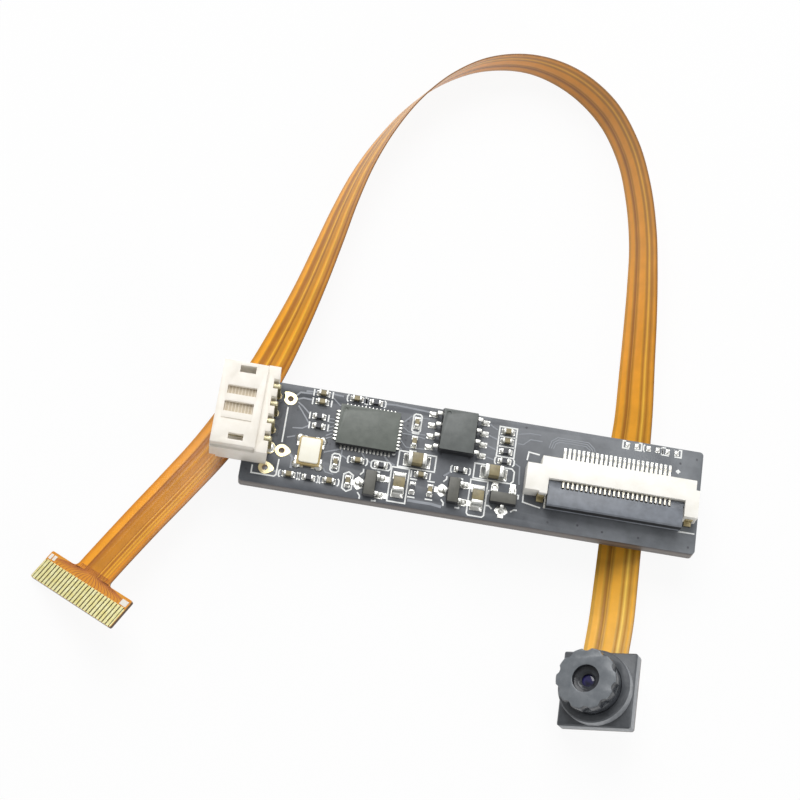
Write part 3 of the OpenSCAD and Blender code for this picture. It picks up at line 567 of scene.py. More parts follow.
def sided_finish(name, dark, light, axis, side_dark, side_light, rough):
    """A surface whose faces along the axis differ in colour from the faces beside them: painted light and
    shade on the lens holder, the chips and the lever, and darker cut sides on the tail's stiffener.
    """
    look = Shader(name, IOR=1.5)
    side = look.mottle(0.5, 3, side_dark, side_light)
    # The faces beside the axis take the side colours; on the mouldings and chips this is painted light and
    # shade
    look.colour(look.mix(look.facing(axis), side, look.mottle(0.9, 4, dark, light)))
    look.grain(0.18, 4, rough, 0.008)
    return look.material


def barrel_finish():
    """Black moulded plastic with painted light and shade: a lighter front face, darker faces beside it and
    painted shade inside the front opening.
    """
    look = Shader("barrel_moulding", IOR=1.5)
    front = look.mottle(1.1, 4, (102, 107, 112), (122, 126, 130))
    shaded_beside = look.mottle(0.7, 3, (43, 45, 49), (66, 69, 74))
    inside = look.mottle(0.6, 3, (38, 39, 43), (61, 64, 69))
    place = look.vector("SUBTRACT", look.coordinates(), HEAD * MM)["Vector"]
    turn = look.vector("CROSS_PRODUCT", place, HEAD_AXIS)["Vector"]
    radius = look.vector("LENGTH", turn)["Value"]
    height = look.vector("DOT_PRODUCT", place, HEAD_AXIS)["Value"]
    # Painted shade inside the front opening
    near = look.math("LESS_THAN", radius, OPENING_RADIUS * MM)
    below = look.math("LESS_THAN", height, OPENING_TOP * MM)
    # Painted light: the front face lighter than the faces beside it
    outside = look.mix(look.facing(HEAD_AXIS), shaded_beside, front)
    look.colour(look.mix(look.math("MULTIPLY", near, below), outside, inside))
    look.grain(0.18, 4, (0.16, 0.3), 0.008)
    return look.material


def finger_finish():
    """Bright gold plate over copper, brushed lightly along the contacts."""
    look = Shader("finger_gold_plate", Metallic=0.7)
    look.colour(look.mottle(0.7, 3, (250, 238, 158), (255, 252, 200)))
    look.grain(0.08, 3, (0.28, 0.42), 0.003, stretch=(1, 4, 1))
    return look.material


# Colours in these tables are 8-bit display values.
# Plain surfaces and metals have dark, light, grain in mm, bump in mm and roughness range
PLAIN = {
    "nylon": ((232, 226, 214), (244, 239, 230), 0.3, 0.006, (0.38, 0.52)),
    "ivory_moulding": ((242, 239, 230), (250, 248, 242), 0.25, 0.005, (0.36, 0.5)),
    "crystal_ceramic_body": ((175, 154, 105), (204, 182, 129), 0.15, 0.006, (0.5, 0.65)),
    "capacitor_body": ((122, 112, 84), (156, 144, 108), 0.14, 0.005, (0.35, 0.5)),
    "resistor_body": ((56, 58, 62), (74, 76, 82), 0.12, 0.004, (0.3, 0.45)),
    "inner_moulding": ((38, 39, 42), (51, 52, 56), 0.18, 0.006, (0.5, 0.65)),
    "stiffener_plate": ((198, 198, 198), (209, 209, 208), 0.2, 0.004, (0.3, 0.42)),
    "sensor_die": ((71, 74, 89), (95, 100, 118), 0.4, 0.002, (0.2, 0.3)),
    "lid_plate": ((240, 236, 218), (250, 248, 236), 0.3, 0.005, (0.34, 0.48)),
    # Painted shade: darker beige for the floors and ribs of the recesses in the header's roof
    "window_floor_shade": ((188, 172, 146), (209, 195, 170), 0.2, 0.006, (0.4, 0.55)),
    "window_rib_shade": ((216, 205, 186), (222, 213, 196), 0.2, 0.006, (0.4, 0.55)),
    "finger_gap": ((61, 48, 14), (89, 71, 22), 0.2, 0.003, (0.4, 0.5)),
    "track_brown": ((159, 89, 33), (198, 118, 48), 0.2, 0.003, (0.35, 0.45)),
    "bore_lining": ((138, 102, 40), (198, 154, 76), 0.15, 0.004, (0.3, 0.45)),
    "pad_ink": ((216, 210, 197), (236, 232, 224), 0.2, 0.004, (0.5, 0.65)),
    "printed_ink": ((232, 235, 234), (246, 247, 245), 0.2, 0.004, (0.5, 0.65)),
    "mask_over_copper": ((131, 135, 141), (146, 150, 157), 0.5, 0.004, (0.36, 0.48)),
    "via_mask": ((64, 66, 71), (82, 84, 89), 0.2, 0.004, (0.4, 0.5)),
}
METALS = {
    "ring_gold": ((246, 226, 168), (255, 244, 206), 0.15, 0.006, (0.25, 0.4)),
    "soldered_tin": ((216, 216, 210), (244, 244, 240), 0.2, 0.01, (0.22, 0.4)),
    "post_tin": ((172, 164, 133), (208, 201, 169), 0.15, 0.006, (0.3, 0.45)),
    "contact_bronze": ((228, 222, 204), (248, 244, 232), 0.12, 0.005, (0.25, 0.4)),
    "dull_tab": ((198, 182, 138), (214, 200, 159), 0.12, 0.005, (0.35, 0.5)),
    "leaded_tin": ((217, 217, 210), (240, 240, 236), 0.12, 0.006, (0.26, 0.42)),
}
GLASS = {
    # name: dark, light
    "front_glass": ((20, 20, 43), (51, 47, 102)),
    "inner_glass": ((22, 25, 48), (43, 48, 82)),
    "filter_coat": ((82, 146, 138), (120, 185, 175)),
    "cover_glass": ((95, 113, 138), (128, 146, 172)),
}
FILMS = {
    # name: dark, light, axis that its faces look along
    "head_film": ((216, 145, 51), (226, 158, 62), HEAD_AXIS),
    "tail_film": ((215, 137, 32), (215, 147, 42), TAIL_AXIS),
}
SIDED = {
    # name: dark, light, axis that these faces look along, dark and light beside them, roughness range
    # Painted light and shade: the holder's faces beside its axis lighter than its front faces
    "holder_moulding": ((74, 77, 81), (90, 93, 97), HEAD_AXIS,
                        (124, 127, 131), (146, 149, 153), (0.3, 0.46)),
    "tail_board": ((203, 135, 57), (212, 145, 67), TAIL_AXIS,
                   (76, 53, 25), (113, 79, 38), (0.3, 0.46)),
}
# Chips and the lever, with painted light and shade: greyer tops and near-black sides
LIT_AND_SHADED_SIDES = {
    "lever_moulding": ((106, 110, 117), (124, 129, 137)),
    "controller_epoxy": ((92, 97, 91), (106, 111, 105)),
    "memory_epoxy": ((88, 92, 90), (102, 106, 104)),
    "regulator_epoxy": ((84, 84, 78), (100, 99, 92)),
}
for finish, tones in LIT_AND_SHADED_SIDES.items():
    SIDED[finish] = (*tones, UP, (28, 29, 31), (44, 45, 48), (0.38, 0.54))
FINISH = {
    "solder_mask": mask_finish(), "barrel_moulding": barrel_finish(), "finger_gold_plate": finger_finish(),
}
for make, table in (
    (plain_finish, PLAIN), (metal_finish, METALS), (glass_finish, GLASS), (sheet_film, FILMS),
    (sided_finish, SIDED),
):
    FINISH.update({finish: make(finish, *values) for finish, values in table.items()})

# Finish of each CAD node, and the radius of its edges where they are rounded
LOOKS = {
    "circuit_board": ("solder_mask", 0.05), "plated_holes": ("ring_gold", 0),
    "solder_pads": ("soldered_tin", 0), "header_housing": ("nylon", 0.06),
    "fpc_socket_housing": ("ivory_moulding", 0.03), "fpc_socket_actuator": ("lever_moulding", 0.03),
    "fpc_socket_contacts": ("contact_bronze", 0), "fpc_socket_anchor_left": ("dull_tab", 0.02),
    "fpc_socket_anchor_right": ("dull_tab", 0.02), "controller_chip": ("controller_epoxy", 0.03),
    "controller_leads": ("leaded_tin", 0), "memory_chip": ("memory_epoxy", 0.04),
    "memory_leads": ("leaded_tin", 0.02), "crystal_base": ("crystal_ceramic_body", 0.04),
    "crystal_lid": ("lid_plate", 0.05), "bulk_capacitor_terminals": ("leaded_tin", 0.06),
    "chip_capacitors": ("capacitor_body", 0), "chip_capacitor_terminals": ("leaded_tin", 0.04),
    "chip_resistors": ("resistor_body", 0), "chip_resistor_terminals": ("leaded_tin", 0.03),
    "head_stiffener": ("stiffener_plate", 0.03), "head_flex": ("head_film", 0),
    "image_sensor": ("sensor_die", 0), "sensor_glass": ("cover_glass", 0),
    "infrared_filter": ("filter_coat", 0), "lens_holder": ("holder_moulding", 0.08),
    "lens_barrel": ("barrel_moulding", 0.06), "front_lens": ("front_glass", 0),
    "middle_lens": ("inner_glass", 0), "rear_lens": ("inner_glass", 0),
    "lens_spacer": ("inner_moulding", 0), "lens_retainer": ("inner_moulding", 0),
    "tail_flex": ("tail_film", 0), "tail_stiffener": ("tail_board", 0),
    "tail_fingers": ("finger_gold_plate", 0),
}
LOOKS.update({f"header_pin_{i}": ("post_tin", 0.04) for i in (1, 2, 3, 4)})
LOOKS.update({f"regulator_{i}": ("regulator_epoxy", 0.03) for i in (1, 2, 3)})
LOOKS.update({f"regulator_{i}_leads": ("leaded_tin", 0.02) for i in (1, 2, 3)})
LOOKS.update({f"bulk_capacitor_{i}": ("capacitor_body", 0.03) for i in (1, 2, 3, 4)})
BODIES = {node: body for body, members in frame["record"]["behaviour"]["bodies"].items() for node in members}
# Neighbouring faces that turn by less than FLAT are merged; edges that turn by more than SHARP are rounded
FLAT = math.radians(0.6)
SHARP = math.radians(28)


def rounded(node, radius, finish):
    """A copy of a CAD node with its sharp edges rounded, standing for that node."""
    mesh = bmesh.new()
    mesh.from_mesh(nodes[node].data)
    bmesh.ops.remove_doubles(mesh, verts=mesh.verts, dist=0.001 * MM)
    bmesh.ops.dissolve_limit(mesh, angle_limit=FLAT, verts=mesh.verts, edges=mesh.edges)
    sharp = [edge for edge in mesh.edges if edge.is_manifold and edge.calc_face_angle(0) > SHARP]
    bmesh.ops.bevel(
        mesh, geom=sharp, offset=radius * MM, offset_type="OFFSET", segments=2, profile=0.5, affect="EDGES",
        clamp_overlap=True)
    name = node + "_rounded"
    piece = new_object(name, mesh_data(mesh, name, finish), BODIES[node], smooth=40)
    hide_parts(node)


def dress_nodes():
    """Puts the finishes on, on rounded copies of the moulded nodes and on the rest as they are."""
    for node, (finish, radius) in LOOKS.items():
        material = FINISH[finish]
        if radius:
            rounded(node, radius, material)
            continue
        for slot in nodes[node].material_slots:
            slot.material = material
        if not nodes[node].material_slots:
            nodes[node].data.materials.append(material)


# ---------------- print, tracks and solder on the board
def circle(x, y, radius, count=24):
    return [(x + radius * math.cos(math.tau * i / count), y + radius * math.sin(math.tau * i / count))
            for i in range(count)]


def teardrop(x, y, radius, tip, heading):
    """A circle drawn out to a tip at `tip` from its middle, heading in degrees."""
    count = 24
    half_angle = 0.9
    points = []
    for i in range(count):
        angle = math.tau * i / count
        turn = (angle - math.radians(heading) + math.pi) % math.tau - math.pi
        reach = radius
        if abs(turn) < half_angle:
            reach = radius + (tip - radius) * (1 - abs(turn) / half_angle) ** 1.4
        points.append((x + reach * math.cos(angle), y + reach * math.sin(angle)))
    return points


def turned(site, points):
    """Points of a part's own plan, placed on the board at (x, y, turn)."""
    x, y, turn = site
    c, s = math.cos(math.radians(turn)), math.sin(math.radians(turn))
    return [(x + px * c - py * s, y + px * s + py * c) for px, py in points]


class Relief:
    """Flat shapes in board millimetres, `height` thick, that start at `base` over the board's top face."""

    # Least cosine that a corner of a line is mitred by, so that sharp ones don't run out
    LEAST_MITRE = 0.5

    def __init__(self, height, base=0.0):
        self.mesh = bmesh.new()
        self.low, self.high = base, base + height

    def ring(self, loop, z):
        return [self.mesh.verts.new((BOARD + Vector((x, y, z))) * MM) for x, y in loop]

    def prism(self, loop):
        low, high = self.ring(loop, self.low), self.ring(loop, self.high)
        self.mesh.faces.new(high)
        walls(self.mesh, low, high)

    def band(self, outer, inner):
        """A closed band between two loops of as many points."""
        walls(self.mesh, self.ring(outer, self.low), self.ring(outer, self.high),
              self.ring(inner, self.high), self.ring(inner, self.low))

    def stroke(self, points, width, closed=False):
        """A line of even width through the points, mitred at its corners."""
        sides = ([], [])
        count = len(points)
        for i, (x, y) in enumerate(points):
            before = points[i - 1] if closed or i else None
            after = points[(i + 1) % count] if closed or i < count - 1 else None
            legs = []
            if before:
                legs.append(Vector((x - before[0], y - before[1])).normalized())
            if after:
                legs.append(Vector((after[0] - x, after[1] - y)).normalized())
            normals = [Vector((-leg.y, leg.x)) for leg in legs]
            middle = sum(normals, Vector((0, 0))).normalized()
            reach = width / 2 / max(self.LEAST_MITRE, middle.dot(normals[0]))
            for side, sign in zip(sides, (1, -1)):
                side.append((x + middle.x * reach * sign, y + middle.y * reach * sign))
        if closed:
            self.band(*sides)
        else:
            self.prism(sides[1] + sides[0][::-1])

    def finish(self, name, finish, slot):
        module_piece(self.mesh, name, finish)


# Places on the board: x, y and turn in degrees
CAPACITORS = [
    (7.45, 11.2, 0), (7.45, 10.2, 0), (11.1, 11.2, 0), (17.9, 9.6, 90), (17.9, 7.4, 90),
    (9.9, 3.6, 90), (12.2, 4.25, 0), (5.2, 1.45, 0), (9.55, 1.45, 0), (11.5, 1.75, 90),
    (19.1, 3.8, 0), (20.3, 2.25, 90), (27.8, 10.3, 0), (27.8, 9.2, 0),
]
RESISTORS = [
    (7.4, 8.5, 0), (7.5, 7.4, 0), (13.2, 11.15, 0), (14.75, 4.15, 0), (7.35, 1.45, 0),
    (18.4, 2.2, 90), (23.25, 5.1, 0), (27.8, 8, 0), (27.8, 6.9, 0),
]
BULK = [(18.5, 5.3, 0), (16.9, 2.3, 90), (26.8, 5.35, 0), (25.4, 2.3, 90)]
REGULATORS = [(13.85, 1.75, 0), (22.75, 2.5, 0), (28.1, 2.5, 90)]
BARE_PADS = [(41.35, 11.15, 0), (43.65, 11.1, 0), (45.75, 11.1, 0)]
SPARE_HOLES = [(4.05, 10, 135), (4.05, 4, 0), (2.6, 1.8, 0)]
POSTS = [4.1, 6.1, 8.1, 10.1]
POST_X = 2.65
CONTROLLER = (12.8, 7.9)
MEMORY = (22.4, 9)
CRYSTAL = (7, 4.3)
SOCKET_X = 39.95
CONTACTS = 24
CONTACT_PITCH = 0.5
PRINT_WIDTH = 0.16
VIAS = [
    (5.57, 11.19), (9.66, 11.28), (4.76, 6.77), (4.36, 5.6), (3.16, 7.6), (46.78, 10.03), (48.53, 10.78),
    (48.32, 3.02), (48.43, 0.68), (43.01, 0.82), (18.06, 0.79), (19.24, 0.77), (20.64, 0.79), (21.53, 4.14),
    (21.74, 0.64), (29.68, 4.54), (30.66, 0.94), (47.6, 3), (33.2, 0.9), (36.4, 1.1), (39.1, 0.8),
    (0.67, 1.33), (31.2, 5.6), (24, 6.6), (20.9, 6.6), (9, 5.6), (5, 8.9), (15.3, 11.3), (19.6, 11.1),
    (29.7, 11.2),
] + [(16.95, 6.4 + 0.55 * i) for i in range(7)]
# Copper runs by width
COPPER_RUNS = {
    0.12: [
        [(8.6, 10.9), (9.4, 10.2), (10.6, 10.45)], [(8.5, 8.5), (9.1, 8.5)], [(8.5, 8.1), (9.1, 8.1)],
        [(8.6, 7.5), (9.1, 7.7)], [(8.5, 7), (9.1, 7.3)], [(8.4, 6.5), (9.1, 6.9)],
        [(8.3, 6.1), (9.1, 6.5)], [(16.4, 9), (17.1, 8.5), (19, 8.4)],
        [(16.4, 8.2), (17.3, 8.2), (19, 8)], [(16.4, 7.4), (17.1, 6.7), (19.2, 6.8)],
        [(16.4, 6.6), (16.7, 6.3)], [(29, 10.3), (30.2, 10.6), (31.4, 10.6)],
        [(29, 9.2), (29.6, 9.2), (30.3, 9.9), (31.6, 9.9)],
    ],
    0.15: [
        [(4.9, 9.8), (5.5, 9.4), (6.4, 8.6)], [(5, 9.4), (5.5, 8.8), (6.4, 7.6)],
        [(4.76, 6.77), (5.8, 6.9), (6.4, 7.3)], [(4.36, 5.6), (5.2, 5.9)],
        [(16.4, 9.4), (17.2, 10.3), (19.2, 10.3)], [(10.4, 5.2), (10.4, 4.6), (11.2, 4.2)],
        [(12.4, 5.4), (12.9, 4.7), (13.7, 4.2)], [(8.5, 4.6), (9.3, 4.9), (10.9, 5.5)],
        [(8.4, 3.2), (9, 2.4), (9.9, 2.3)], [(25.7, 10.9), (26.6, 10.4)], [(25.8, 9.6), (26.7, 9.3)],
        [(25.8, 8.4), (26.7, 8.1)], [(25.8, 7.1), (26.7, 6.9)],
        [(28.9, 6.9), (29.5, 6.6), (29.6, 5), (29.68, 4.54)],
    ],
    0.2: [
        [(4.6, 10.5), (5, 10.95), (6.3, 11)], [(4.75, 10.1), (5.4, 10.35), (6.3, 10.3)],
        [(14.8, 5.4), (15.4, 4.8), (16.2, 4.4)], [(5.57, 11.19), (8.2, 11.4), (9.66, 11.28)],
        [(14.1, 11.2), (15.3, 11.3), (19.6, 11.1)], [(21.53, 4.14), (22.4, 4.9)],
    ],
    0.25: [
        [(4.8, 4), (5.3, 3.4), (5.3, 2.2)], [(2.6, 1.8), (3.6, 1.6), (4.4, 1.5)],
    ],
    0.3: [
        [(21.74, 0.64), (20.64, 0.79), (19.24, 0.77), (18.06, 0.79)],
    ],
}


def print_lines():
    """White printed outlines round the parts."""
    ink = Relief(height=0.014)

    def line(points):
        ink.stroke(points, PRINT_WIDTH)

    def outline(points):
        ink.stroke(points, PRINT_WIDTH, closed=True)

    def both_ends(site, points):
        for s in (-1, 1):
            line(turned(site, [(x * s, y) for x, y in points]))

    def both_sides(site, points):
        for s in (-1, 1):
            line(turned(site, [(x, y * s) for x, y in points]))

    # Round the big capacitors and the column of small parts beside the memory
    outline(rectangle(16.5, 4.4, 20.5, 6.2))
    outline(rectangle(15.93, 0.35, 17.85, 4.25))
    outline(cut_rectangle(24.68, 4.5, 29.0, 6.2, 0.3, (1, 2)))
    outline(cut_rectangle(24.48, 0.25, 26.34, 4.3, 0.2, (0, 1)))
    outline(rectangle(26.85, 7.42, 28.75, 10.85))
    for y in (9.75, 8.6):
        ink.stroke([(26.85, y), (28.75, y)], PRINT_WIDTH * 0.8)
    # Beside the header, and at the socket's corners
    for points in (
        [(3.92, 4.94), (3.92, 9.02)],
        [(1.25, 1.9), (1.25, 1.0), (3.7, 1.0), (3.9, 1.2), (3.93, 2.99)],
        [(30.2, 7.5), (30.3, 8.46), (31.5, 8.33)],
        [(30.25, 4.29), (30.28, 2.7), (32.22, 2.35)],
        [(47.2, 2.28), (49.0, 2.29)],
    ):
        line(points)
    # Marks at the end of the socket's row of tails and at the controller's corner
    ink.prism([(46.6, 8.78), (46.88, 9.05), (46.6, 9.32), (46.32, 9.05)])
    ink.prism(circle(15.9, 5.7, 0.19))
    # Small parts with rounded brackets, bars, eight-sided rings and a six-sided ring
    for site in [CAPACITORS[i] for i in (2, 6, 7, 8)] + [RESISTORS[i] for i in (2, 4, 6, 8)] + [BARE_PADS[1]]:
        both_ends(site, [(0.9, -0.42), (1.05, -0.24), (1.05, 0.24), (0.9, 0.42)])
    for site in [CAPACITORS[i] for i in (0, 1, 4, 10, 11)] + [RESISTORS[i] for i in (0, 1, 5)]:
        both_ends(site, [(1.02, -0.4), (1.02, 0.4)])
    for site in (CAPACITORS[3], CAPACITORS[5], RESISTORS[3]):
        outline(turned(site, cut_rectangle(-1.05, -0.45, 1.05, 0.45, 0.2)))
    six_sided = [(-1.1, 0), (-0.8, -0.5), (0.8, -0.5), (1.1, 0), (0.8, 0.5), (-0.8, 0.5)]
    outline(turned(CAPACITORS[9], six_sided))
    for site in REGULATORS:
        both_sides(site, [(-0.85, 1.7), (-0.85, 1.35), (-1.15, 1.0)])
        both_sides(site, [(0.4, 1.66), (0.85, 1.66), (0.85, 1.5)])
    for site in (BARE_PADS[0], BARE_PADS[2]):
        both_ends(site, [(0.7, 0.42), (1.02, 0.42), (1.02, -0.42), (0.3, -0.42)])
    ink.finish("board_print", "printed_ink", "white_nylon")


def copper_tracks():
    """Copper runs that show as paler lines under the mask."""
    copper = Relief(height=0.008)
    for width, runs in COPPER_RUNS.items():
        for points in runs:
            copper.stroke(points, width)
    # Three runs, one inside the next, behind the socket
    for inset in (0, 0.24, 0.48):
        half = inset / 2
        copper.stroke([
            (32.4 + inset, 9.3), (32.6 + inset, 10.15 - half), (33.2 + half, 10.65 - inset),
            (36.6 - half, 10.65 - inset), (37.3 - inset, 10.05 - half), (37.4 - inset, 9.7),
        ], 0.1)
    copper.finish("board_tracks", "mask_over_copper", "board_mask")


def dark_marks():
    """Dark rings round three of the header's posts, and the tented vias."""
    shade = Relief(height=0.046)
    for y in POSTS[1:]:
        shade.band(circle(POST_X, y, 0.79), circle(POST_X, y, 0.42))
    shade.finish("post_shade", "via_mask", "board_mask")
    holes = Relief(height=0.004)
    for x, y in VIAS:
        holes.prism(circle(x, y, 0.13))
    holes.finish("board_vias", "via_mask", "board_mask")


def bright_copper():
    """Drawn-out rings and linings of the spare holes, and lands of the socket's tails and the regulators."""
    rings = Relief(height=0.016, base=0.03)
    for x, y, heading in SPARE_HOLES:
        rings.band(teardrop(x, y, 0.71, 1.0, heading), circle(x, y, 0.33))
    rings.finish("ring_teardrops", "ring_gold", "gold_plating")
    lands = Relief(height=0.03)
    for x in row(CONTACTS, CONTACT_PITCH):
        lands.prism(rectangle(SOCKET_X + x - 0.14, 8.2, SOCKET_X + x + 0.14, 9.6))
    for site in REGULATORS:
        lands.prism(turned(site, [
            (-0.7, -0.45), (-0.7, 0.45), (-1.25, 0.75), (-1.6, 0.45), (-1.6, -0.45), (-1.25, -0.75)]))
        for s in (-1, 1):
            lands.prism(turned(site, rectangle(0.7, 0.6 * s, 1.55, 1.35 * s))[::s])
    lands.finish("board_lands", "soldered_tin", "solder")
    board_depth = board_high[2] - board_low[2]
    linings = Relief(height=board_depth, base=-board_depth)
    for x, y, _ in SPARE_HOLES:
        linings.band(circle(x, y, 0.325, 32), circle(x, y, 0.31, 32))
    linings.finish("hole_linings", "bore_lining", "gold_plating")


def solder_joints():
    """Wedges of solder at the chip parts' ends and low beads round the leads."""
    mesh = bmesh.new()

    def place(x, y, z):
        return mesh.verts.new((BOARD + Vector((x, y, z))) * MM)

    def wedge(site, end, width, reach, height):
        """Solder that climbs the end face at `end` along the part's x."""
        sign = 1 if end > 0 else -1
        base = 0.04
        # Outward, up and across as shares of reach, height and width
        slope = [(0, 1.0, 0.86), (0.12, 0.62, 0.93), (0.35, 0.34, 1.0), (0.68, 0.16, 0.98), (1.0, 0.04, 0.78)]
        section = [(-0.5, 0.0), (-0.42, 0.75), (-0.2, 1.0), (0.2, 1.0), (0.42, 0.75), (0.5, 0.0)]
        rows = []
        for out, high, wide in slope:
            line = turned(site, [(end + sign * out * reach, t * wide * width) for t, _ in section])
            climb = high * (height - base)
            rows.append([place(x, y, base + climb * up) for (x, y), (_, up) in zip(line, section)])
        for a, b in zip(rows, rows[1:]):
            for i in range(len(section) - 1):
                mesh.faces.new((a[i], a[i + 1], b[i + 1], b[i]))

    def bead(site, long, wide, height):
        """A low oval bead of solder."""
        rings = []
        for r, up in ((1.0, 0.0), (0.93, 0.35), (0.78, 0.65), (0.5, 0.9), (0.22, 1.0)):
            oval = [(x * long / 2, y * wide / 2) for x, y in circle(0, 0, r, 16)]
            rings.append([place(x, y, 0.03 + up * height) for x, y in turned(site, oval)])
        walls(mesh, *rings)
        mesh.faces.new(rings[-1])

    def beads(site, points, long, wide, height):
        """Beads at points of a part's own plan, turned with it."""
        for x, y in turned(site, points):
            bead((x, y, site[2]), long, wide, height)

    # Sites, half of the part's length, then the solder's width, reach and height
    for sites, half, width, reach, height in (
        (CAPACITORS, 0.5, 0.52, 0.22, 0.36), (RESISTORS, 0.5, 0.52, 0.22, 0.24), (BULK, 1.0, 1.3, 0.42, 0.7),
    ):
        for site in sites:
            for end in (-half, half):
                wedge(site, end, width, reach, height)
    for site in BARE_PADS:
        beads(site, [(-0.5, 0), (0.5, 0)], 0.46, 0.58, 0.07)
    for site in REGULATORS:
        beads(site, [(-1.3, 0), (1.3, 0.95), (1.3, -0.95)], 0.6, 0.62, 0.16)
    beads((*CRYSTAL, 0), rectangle(-1.2, -1.5, 1.2, 1.5), 1.0, 0.95, 0.28)
    beads((SOCKET_X, 9.05, 0), [(x, 0) for x in row(CONTACTS, CONTACT_PITCH)], 0.27, 0.95, 0.2)
    bead((POST_X + 0.1, POSTS[0], 0), 1.15, 1.15, 0.16)
    for side in (-1, 1):
        beads((*MEMORY, 0), [(side * 2.85, y) for y in row(4, 1.27)], 0.95, 0.56, 0.17)
        beads((*CONTROLLER, 0), [(x, side * 2.52) for x in row(14, 0.4)], 0.24, 0.36, 0.1)
        beads((*CONTROLLER, 0), [(side * 3.52, y) for y in row(9, 0.4)], 0.36, 0.24, 0.1)
    module_piece(mesh, "solder_joints", "soldered_tin", smooth=60)


def roof_panels():
    """Ribbed floors of the two wide recesses in the header's roof, in darker beige as painted shade."""
    roof = 3.4
    rib_count = 9
    rib_half = 0.05
    end_gap = 0.14
    panel = Relief(height=0.03, base=roof)
    ribs = Relief(height=0.09, base=roof)
    for x, y, length, width in ((-2.6, 8.5, 3.1, 1.0), (-2.65, 6.6, 3.1, 1.2)):
        front, back = y - width / 2, y + width / 2
        panel.prism(rectangle(x, front, x + length, back))
        for i in range(rib_count):
            rib = x + end_gap + i * (length - 2 * end_gap) / (rib_count - 1)
            ribs.prism(rectangle(rib - rib_half, front, rib + rib_half, back))
    panel.finish("roof_panels", "window_floor_shade", "white_nylon")
    ribs.finish("roof_ribs", "window_rib_shade", "white_nylon")


def tail_details():
    """Dark gaps between the fingers, fine tracks to the neck and pale patches at the plug end's corners."""
    (x0, y0), (x, y, z, lean) = ROUTE[-2][:2], ROUTE[-1]
    origin = Vector((HEAD.x + x, HEAD.y + y, z))
    onward = Vector((x - x0, y - y0, 0)).normalized()
    lean = math.radians(lean)
    across = Vector((onward.y * math.cos(lean), -onward.x * math.cos(lean), math.sin(lean)))
    shown = onward.cross(across)

    def sheet(name, loops, high, finish):
        """Flat shapes on the film's face, placed as (across, onward) from the strip's end."""
        mesh = bmesh.new()
        for loop in loops:
            low, top = ([mesh.verts.new((origin + across * a + onward * b + shown * c) * MM) for a, b in loop]
                        for c in (FLEX_THICKNESS / 2 - 0.01, FLEX_THICKNESS / 2 + high))
            mesh.faces.new(top)
            walls(mesh, low, top)
        module_piece(mesh, name, finish)

    def track(a):
        """One track, from its finger at `a` across, bending in to the neck."""
        neck = 0.36 * a
        start = 0.95 - abs(a) * 0.03
        half_width = 0.05
        steps = 8
        leg = [(a, 1.15), (a, start)]
        for k in range(1, steps + 1):
            f = k / steps
            leg.append((a + (neck - a) * f ** 1.3, start - f ** 0.8 * (start + 0.1)))
        leg.append((neck, -0.6))
        left, right = [], []
        for k, here in enumerate(leg):
            before, after = leg[max(0, k - 1)], leg[min(len(leg) - 1, k + 1)]
            run = Vector((after[0] - before[0], after[1] - before[1])).normalized() * half_width
            left.append((here[0] - run.y, here[1] + run.x))
            right.append((here[0] + run.y, here[1] - run.x))
        return [[left[k], left[k + 1], right[k + 1], right[k]] for k in range(len(leg) - 1)]

    sheet("finger_gaps", [rectangle(-6.15, 1.12, 6.15, 3.5)], 0.006, "finger_gap")
    sheet("finger_ends", [rectangle(-6.2, 1.2, -6.02, 3.48), rectangle(6.02, 1.2, 6.2, 3.48)], 0.03,
          "finger_gold_plate")
    tracks = [piece for a in row(CONTACTS, CONTACT_PITCH) for piece in track(a)]
    sheet("tail_tracks", tracks, 0.008, "track_brown")
    patches = [
        rectangle(-6.1, 0.3, -5.7, 0.95), rectangle(-5.55, 0.3, -5.15, 0.9), rectangle(5.1, 0.3, 6.05, 0.95)]
    sheet("tail_patches", patches, 0.02, "pad_ink")


dress_nodes()
print_lines()
copper_tracks()
dark_marks()
bright_copper()
solder_joints()
roof_panels()
tail_details()


# ---------------- stage
# Share of white glow in the floor as the camera sees it, and strength of the white world as a light
FLOOR_GLOW = 0.92
WORLD_LIGHT = 0.38
# name: place in metres, side in metres, watts
LAMPS = {
    "key_lamp": ((-0.12, 0.45, 0.5), 0.55, 4.3),
    "fill_lamp": ((0.5, 0.1, 0.4), 0.4, 0.5),
    "edge_lamp": ((0.3, -0.28, 0.14), 0.08, 0.4),
}


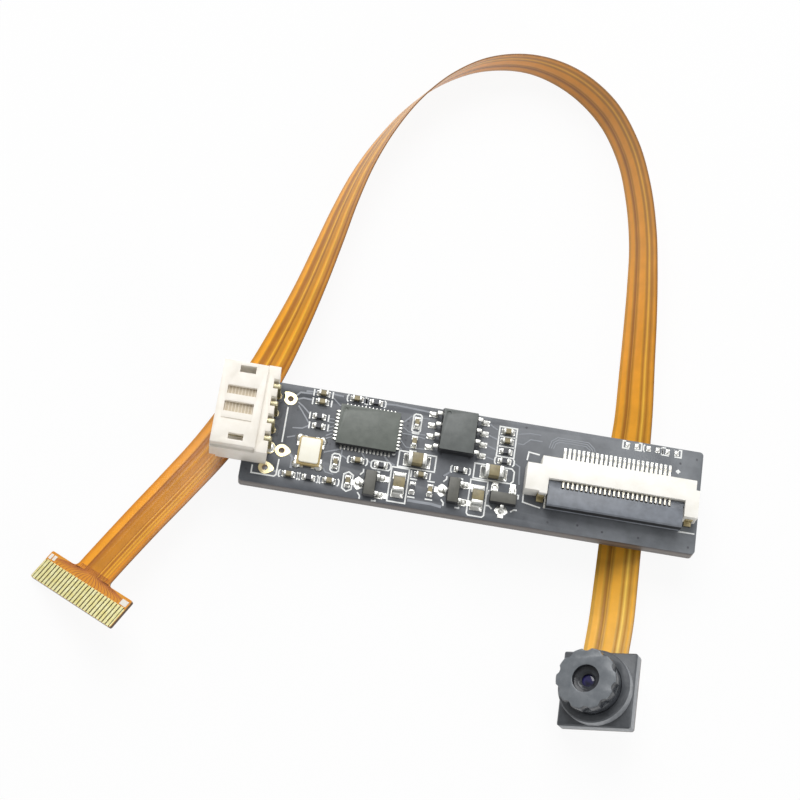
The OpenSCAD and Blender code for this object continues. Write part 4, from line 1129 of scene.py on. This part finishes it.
def make_floor():
    """A pale floor that keeps the shadow and shows white to the camera."""
    data = bpy.data.meshes.new("floor")
    side = 3.0
    z = cad_low.z - 0.02 * MM
    data.from_pydata([(x, y, z) for x, y in rectangle(-side, -side, side, side)], [], [(0, 1, 2, 3)])
    floor = bpy.data.objects.new("floor", data)
    bpy.context.scene.collection.objects.link(floor)
    look = Shader("floor_paper", Roughness=0.9)
    look.colour(look.ramp(look.noise(60, 2), [(0.3, (0.8, 0.8, 0.8)), (0.7, (0.82, 0.82, 0.82))]))
    glow = look.node("Emission", Strength=1.0, Color=(1, 1, 1, 1))
    seen = look.node("LightPath").outputs
    either = look.math("MAXIMUM", seen["Is Camera Ray"], seen["Is Glossy Ray"])
    either = look.math("MAXIMUM", either, seen["Is Transmission Ray"])
    blend = look.node("MixShader")
    look.link(look.math("MULTIPLY", either, FLOOR_GLOW), blend.inputs["Fac"])
    look.link(look.principled.outputs["BSDF"], blend.inputs[1])
    look.link(glow.outputs["Emission"], blend.inputs[2])
    look.link(blend.outputs["Shader"], look.tree.nodes["Material Output"].inputs["Surface"])
    data.materials.append(look.material)


def make_lamps():
    for name, (at, size, power) in LAMPS.items():
        lamp = bpy.data.lights.new(name, "AREA")
        lamp.size = size
        lamp.energy = power
        stand = bpy.data.objects.new(name, lamp)
        stand.location = at
        stand.rotation_euler = (-Vector(at)).to_track_quat("-Z", "Y").to_euler()
        bpy.context.scene.collection.objects.link(stand)


def make_world():
    """A world that shows white to the camera and lights the part softly."""
    world = bpy.data.worlds.new("studio")
    world.use_nodes = True
    bpy.context.scene.world = world
    tree = world.node_tree
    background = tree.nodes["Background"]
    background.inputs["Color"].default_value = (1, 1, 1, 1)
    path = tree.nodes.new("ShaderNodeLightPath")
    level = tree.nodes.new("ShaderNodeMapRange")
    level.inputs["To Min"].default_value = WORLD_LIGHT
    level.inputs["To Max"].default_value = 1.0
    tree.links.new(path.outputs["Is Camera Ray"], level.inputs["Value"])
    tree.links.new(level.outputs["Result"], background.inputs["Strength"])


make_floor()
make_lamps()
make_world()
bpy.context.scene.view_settings.view_transform = "Standard"
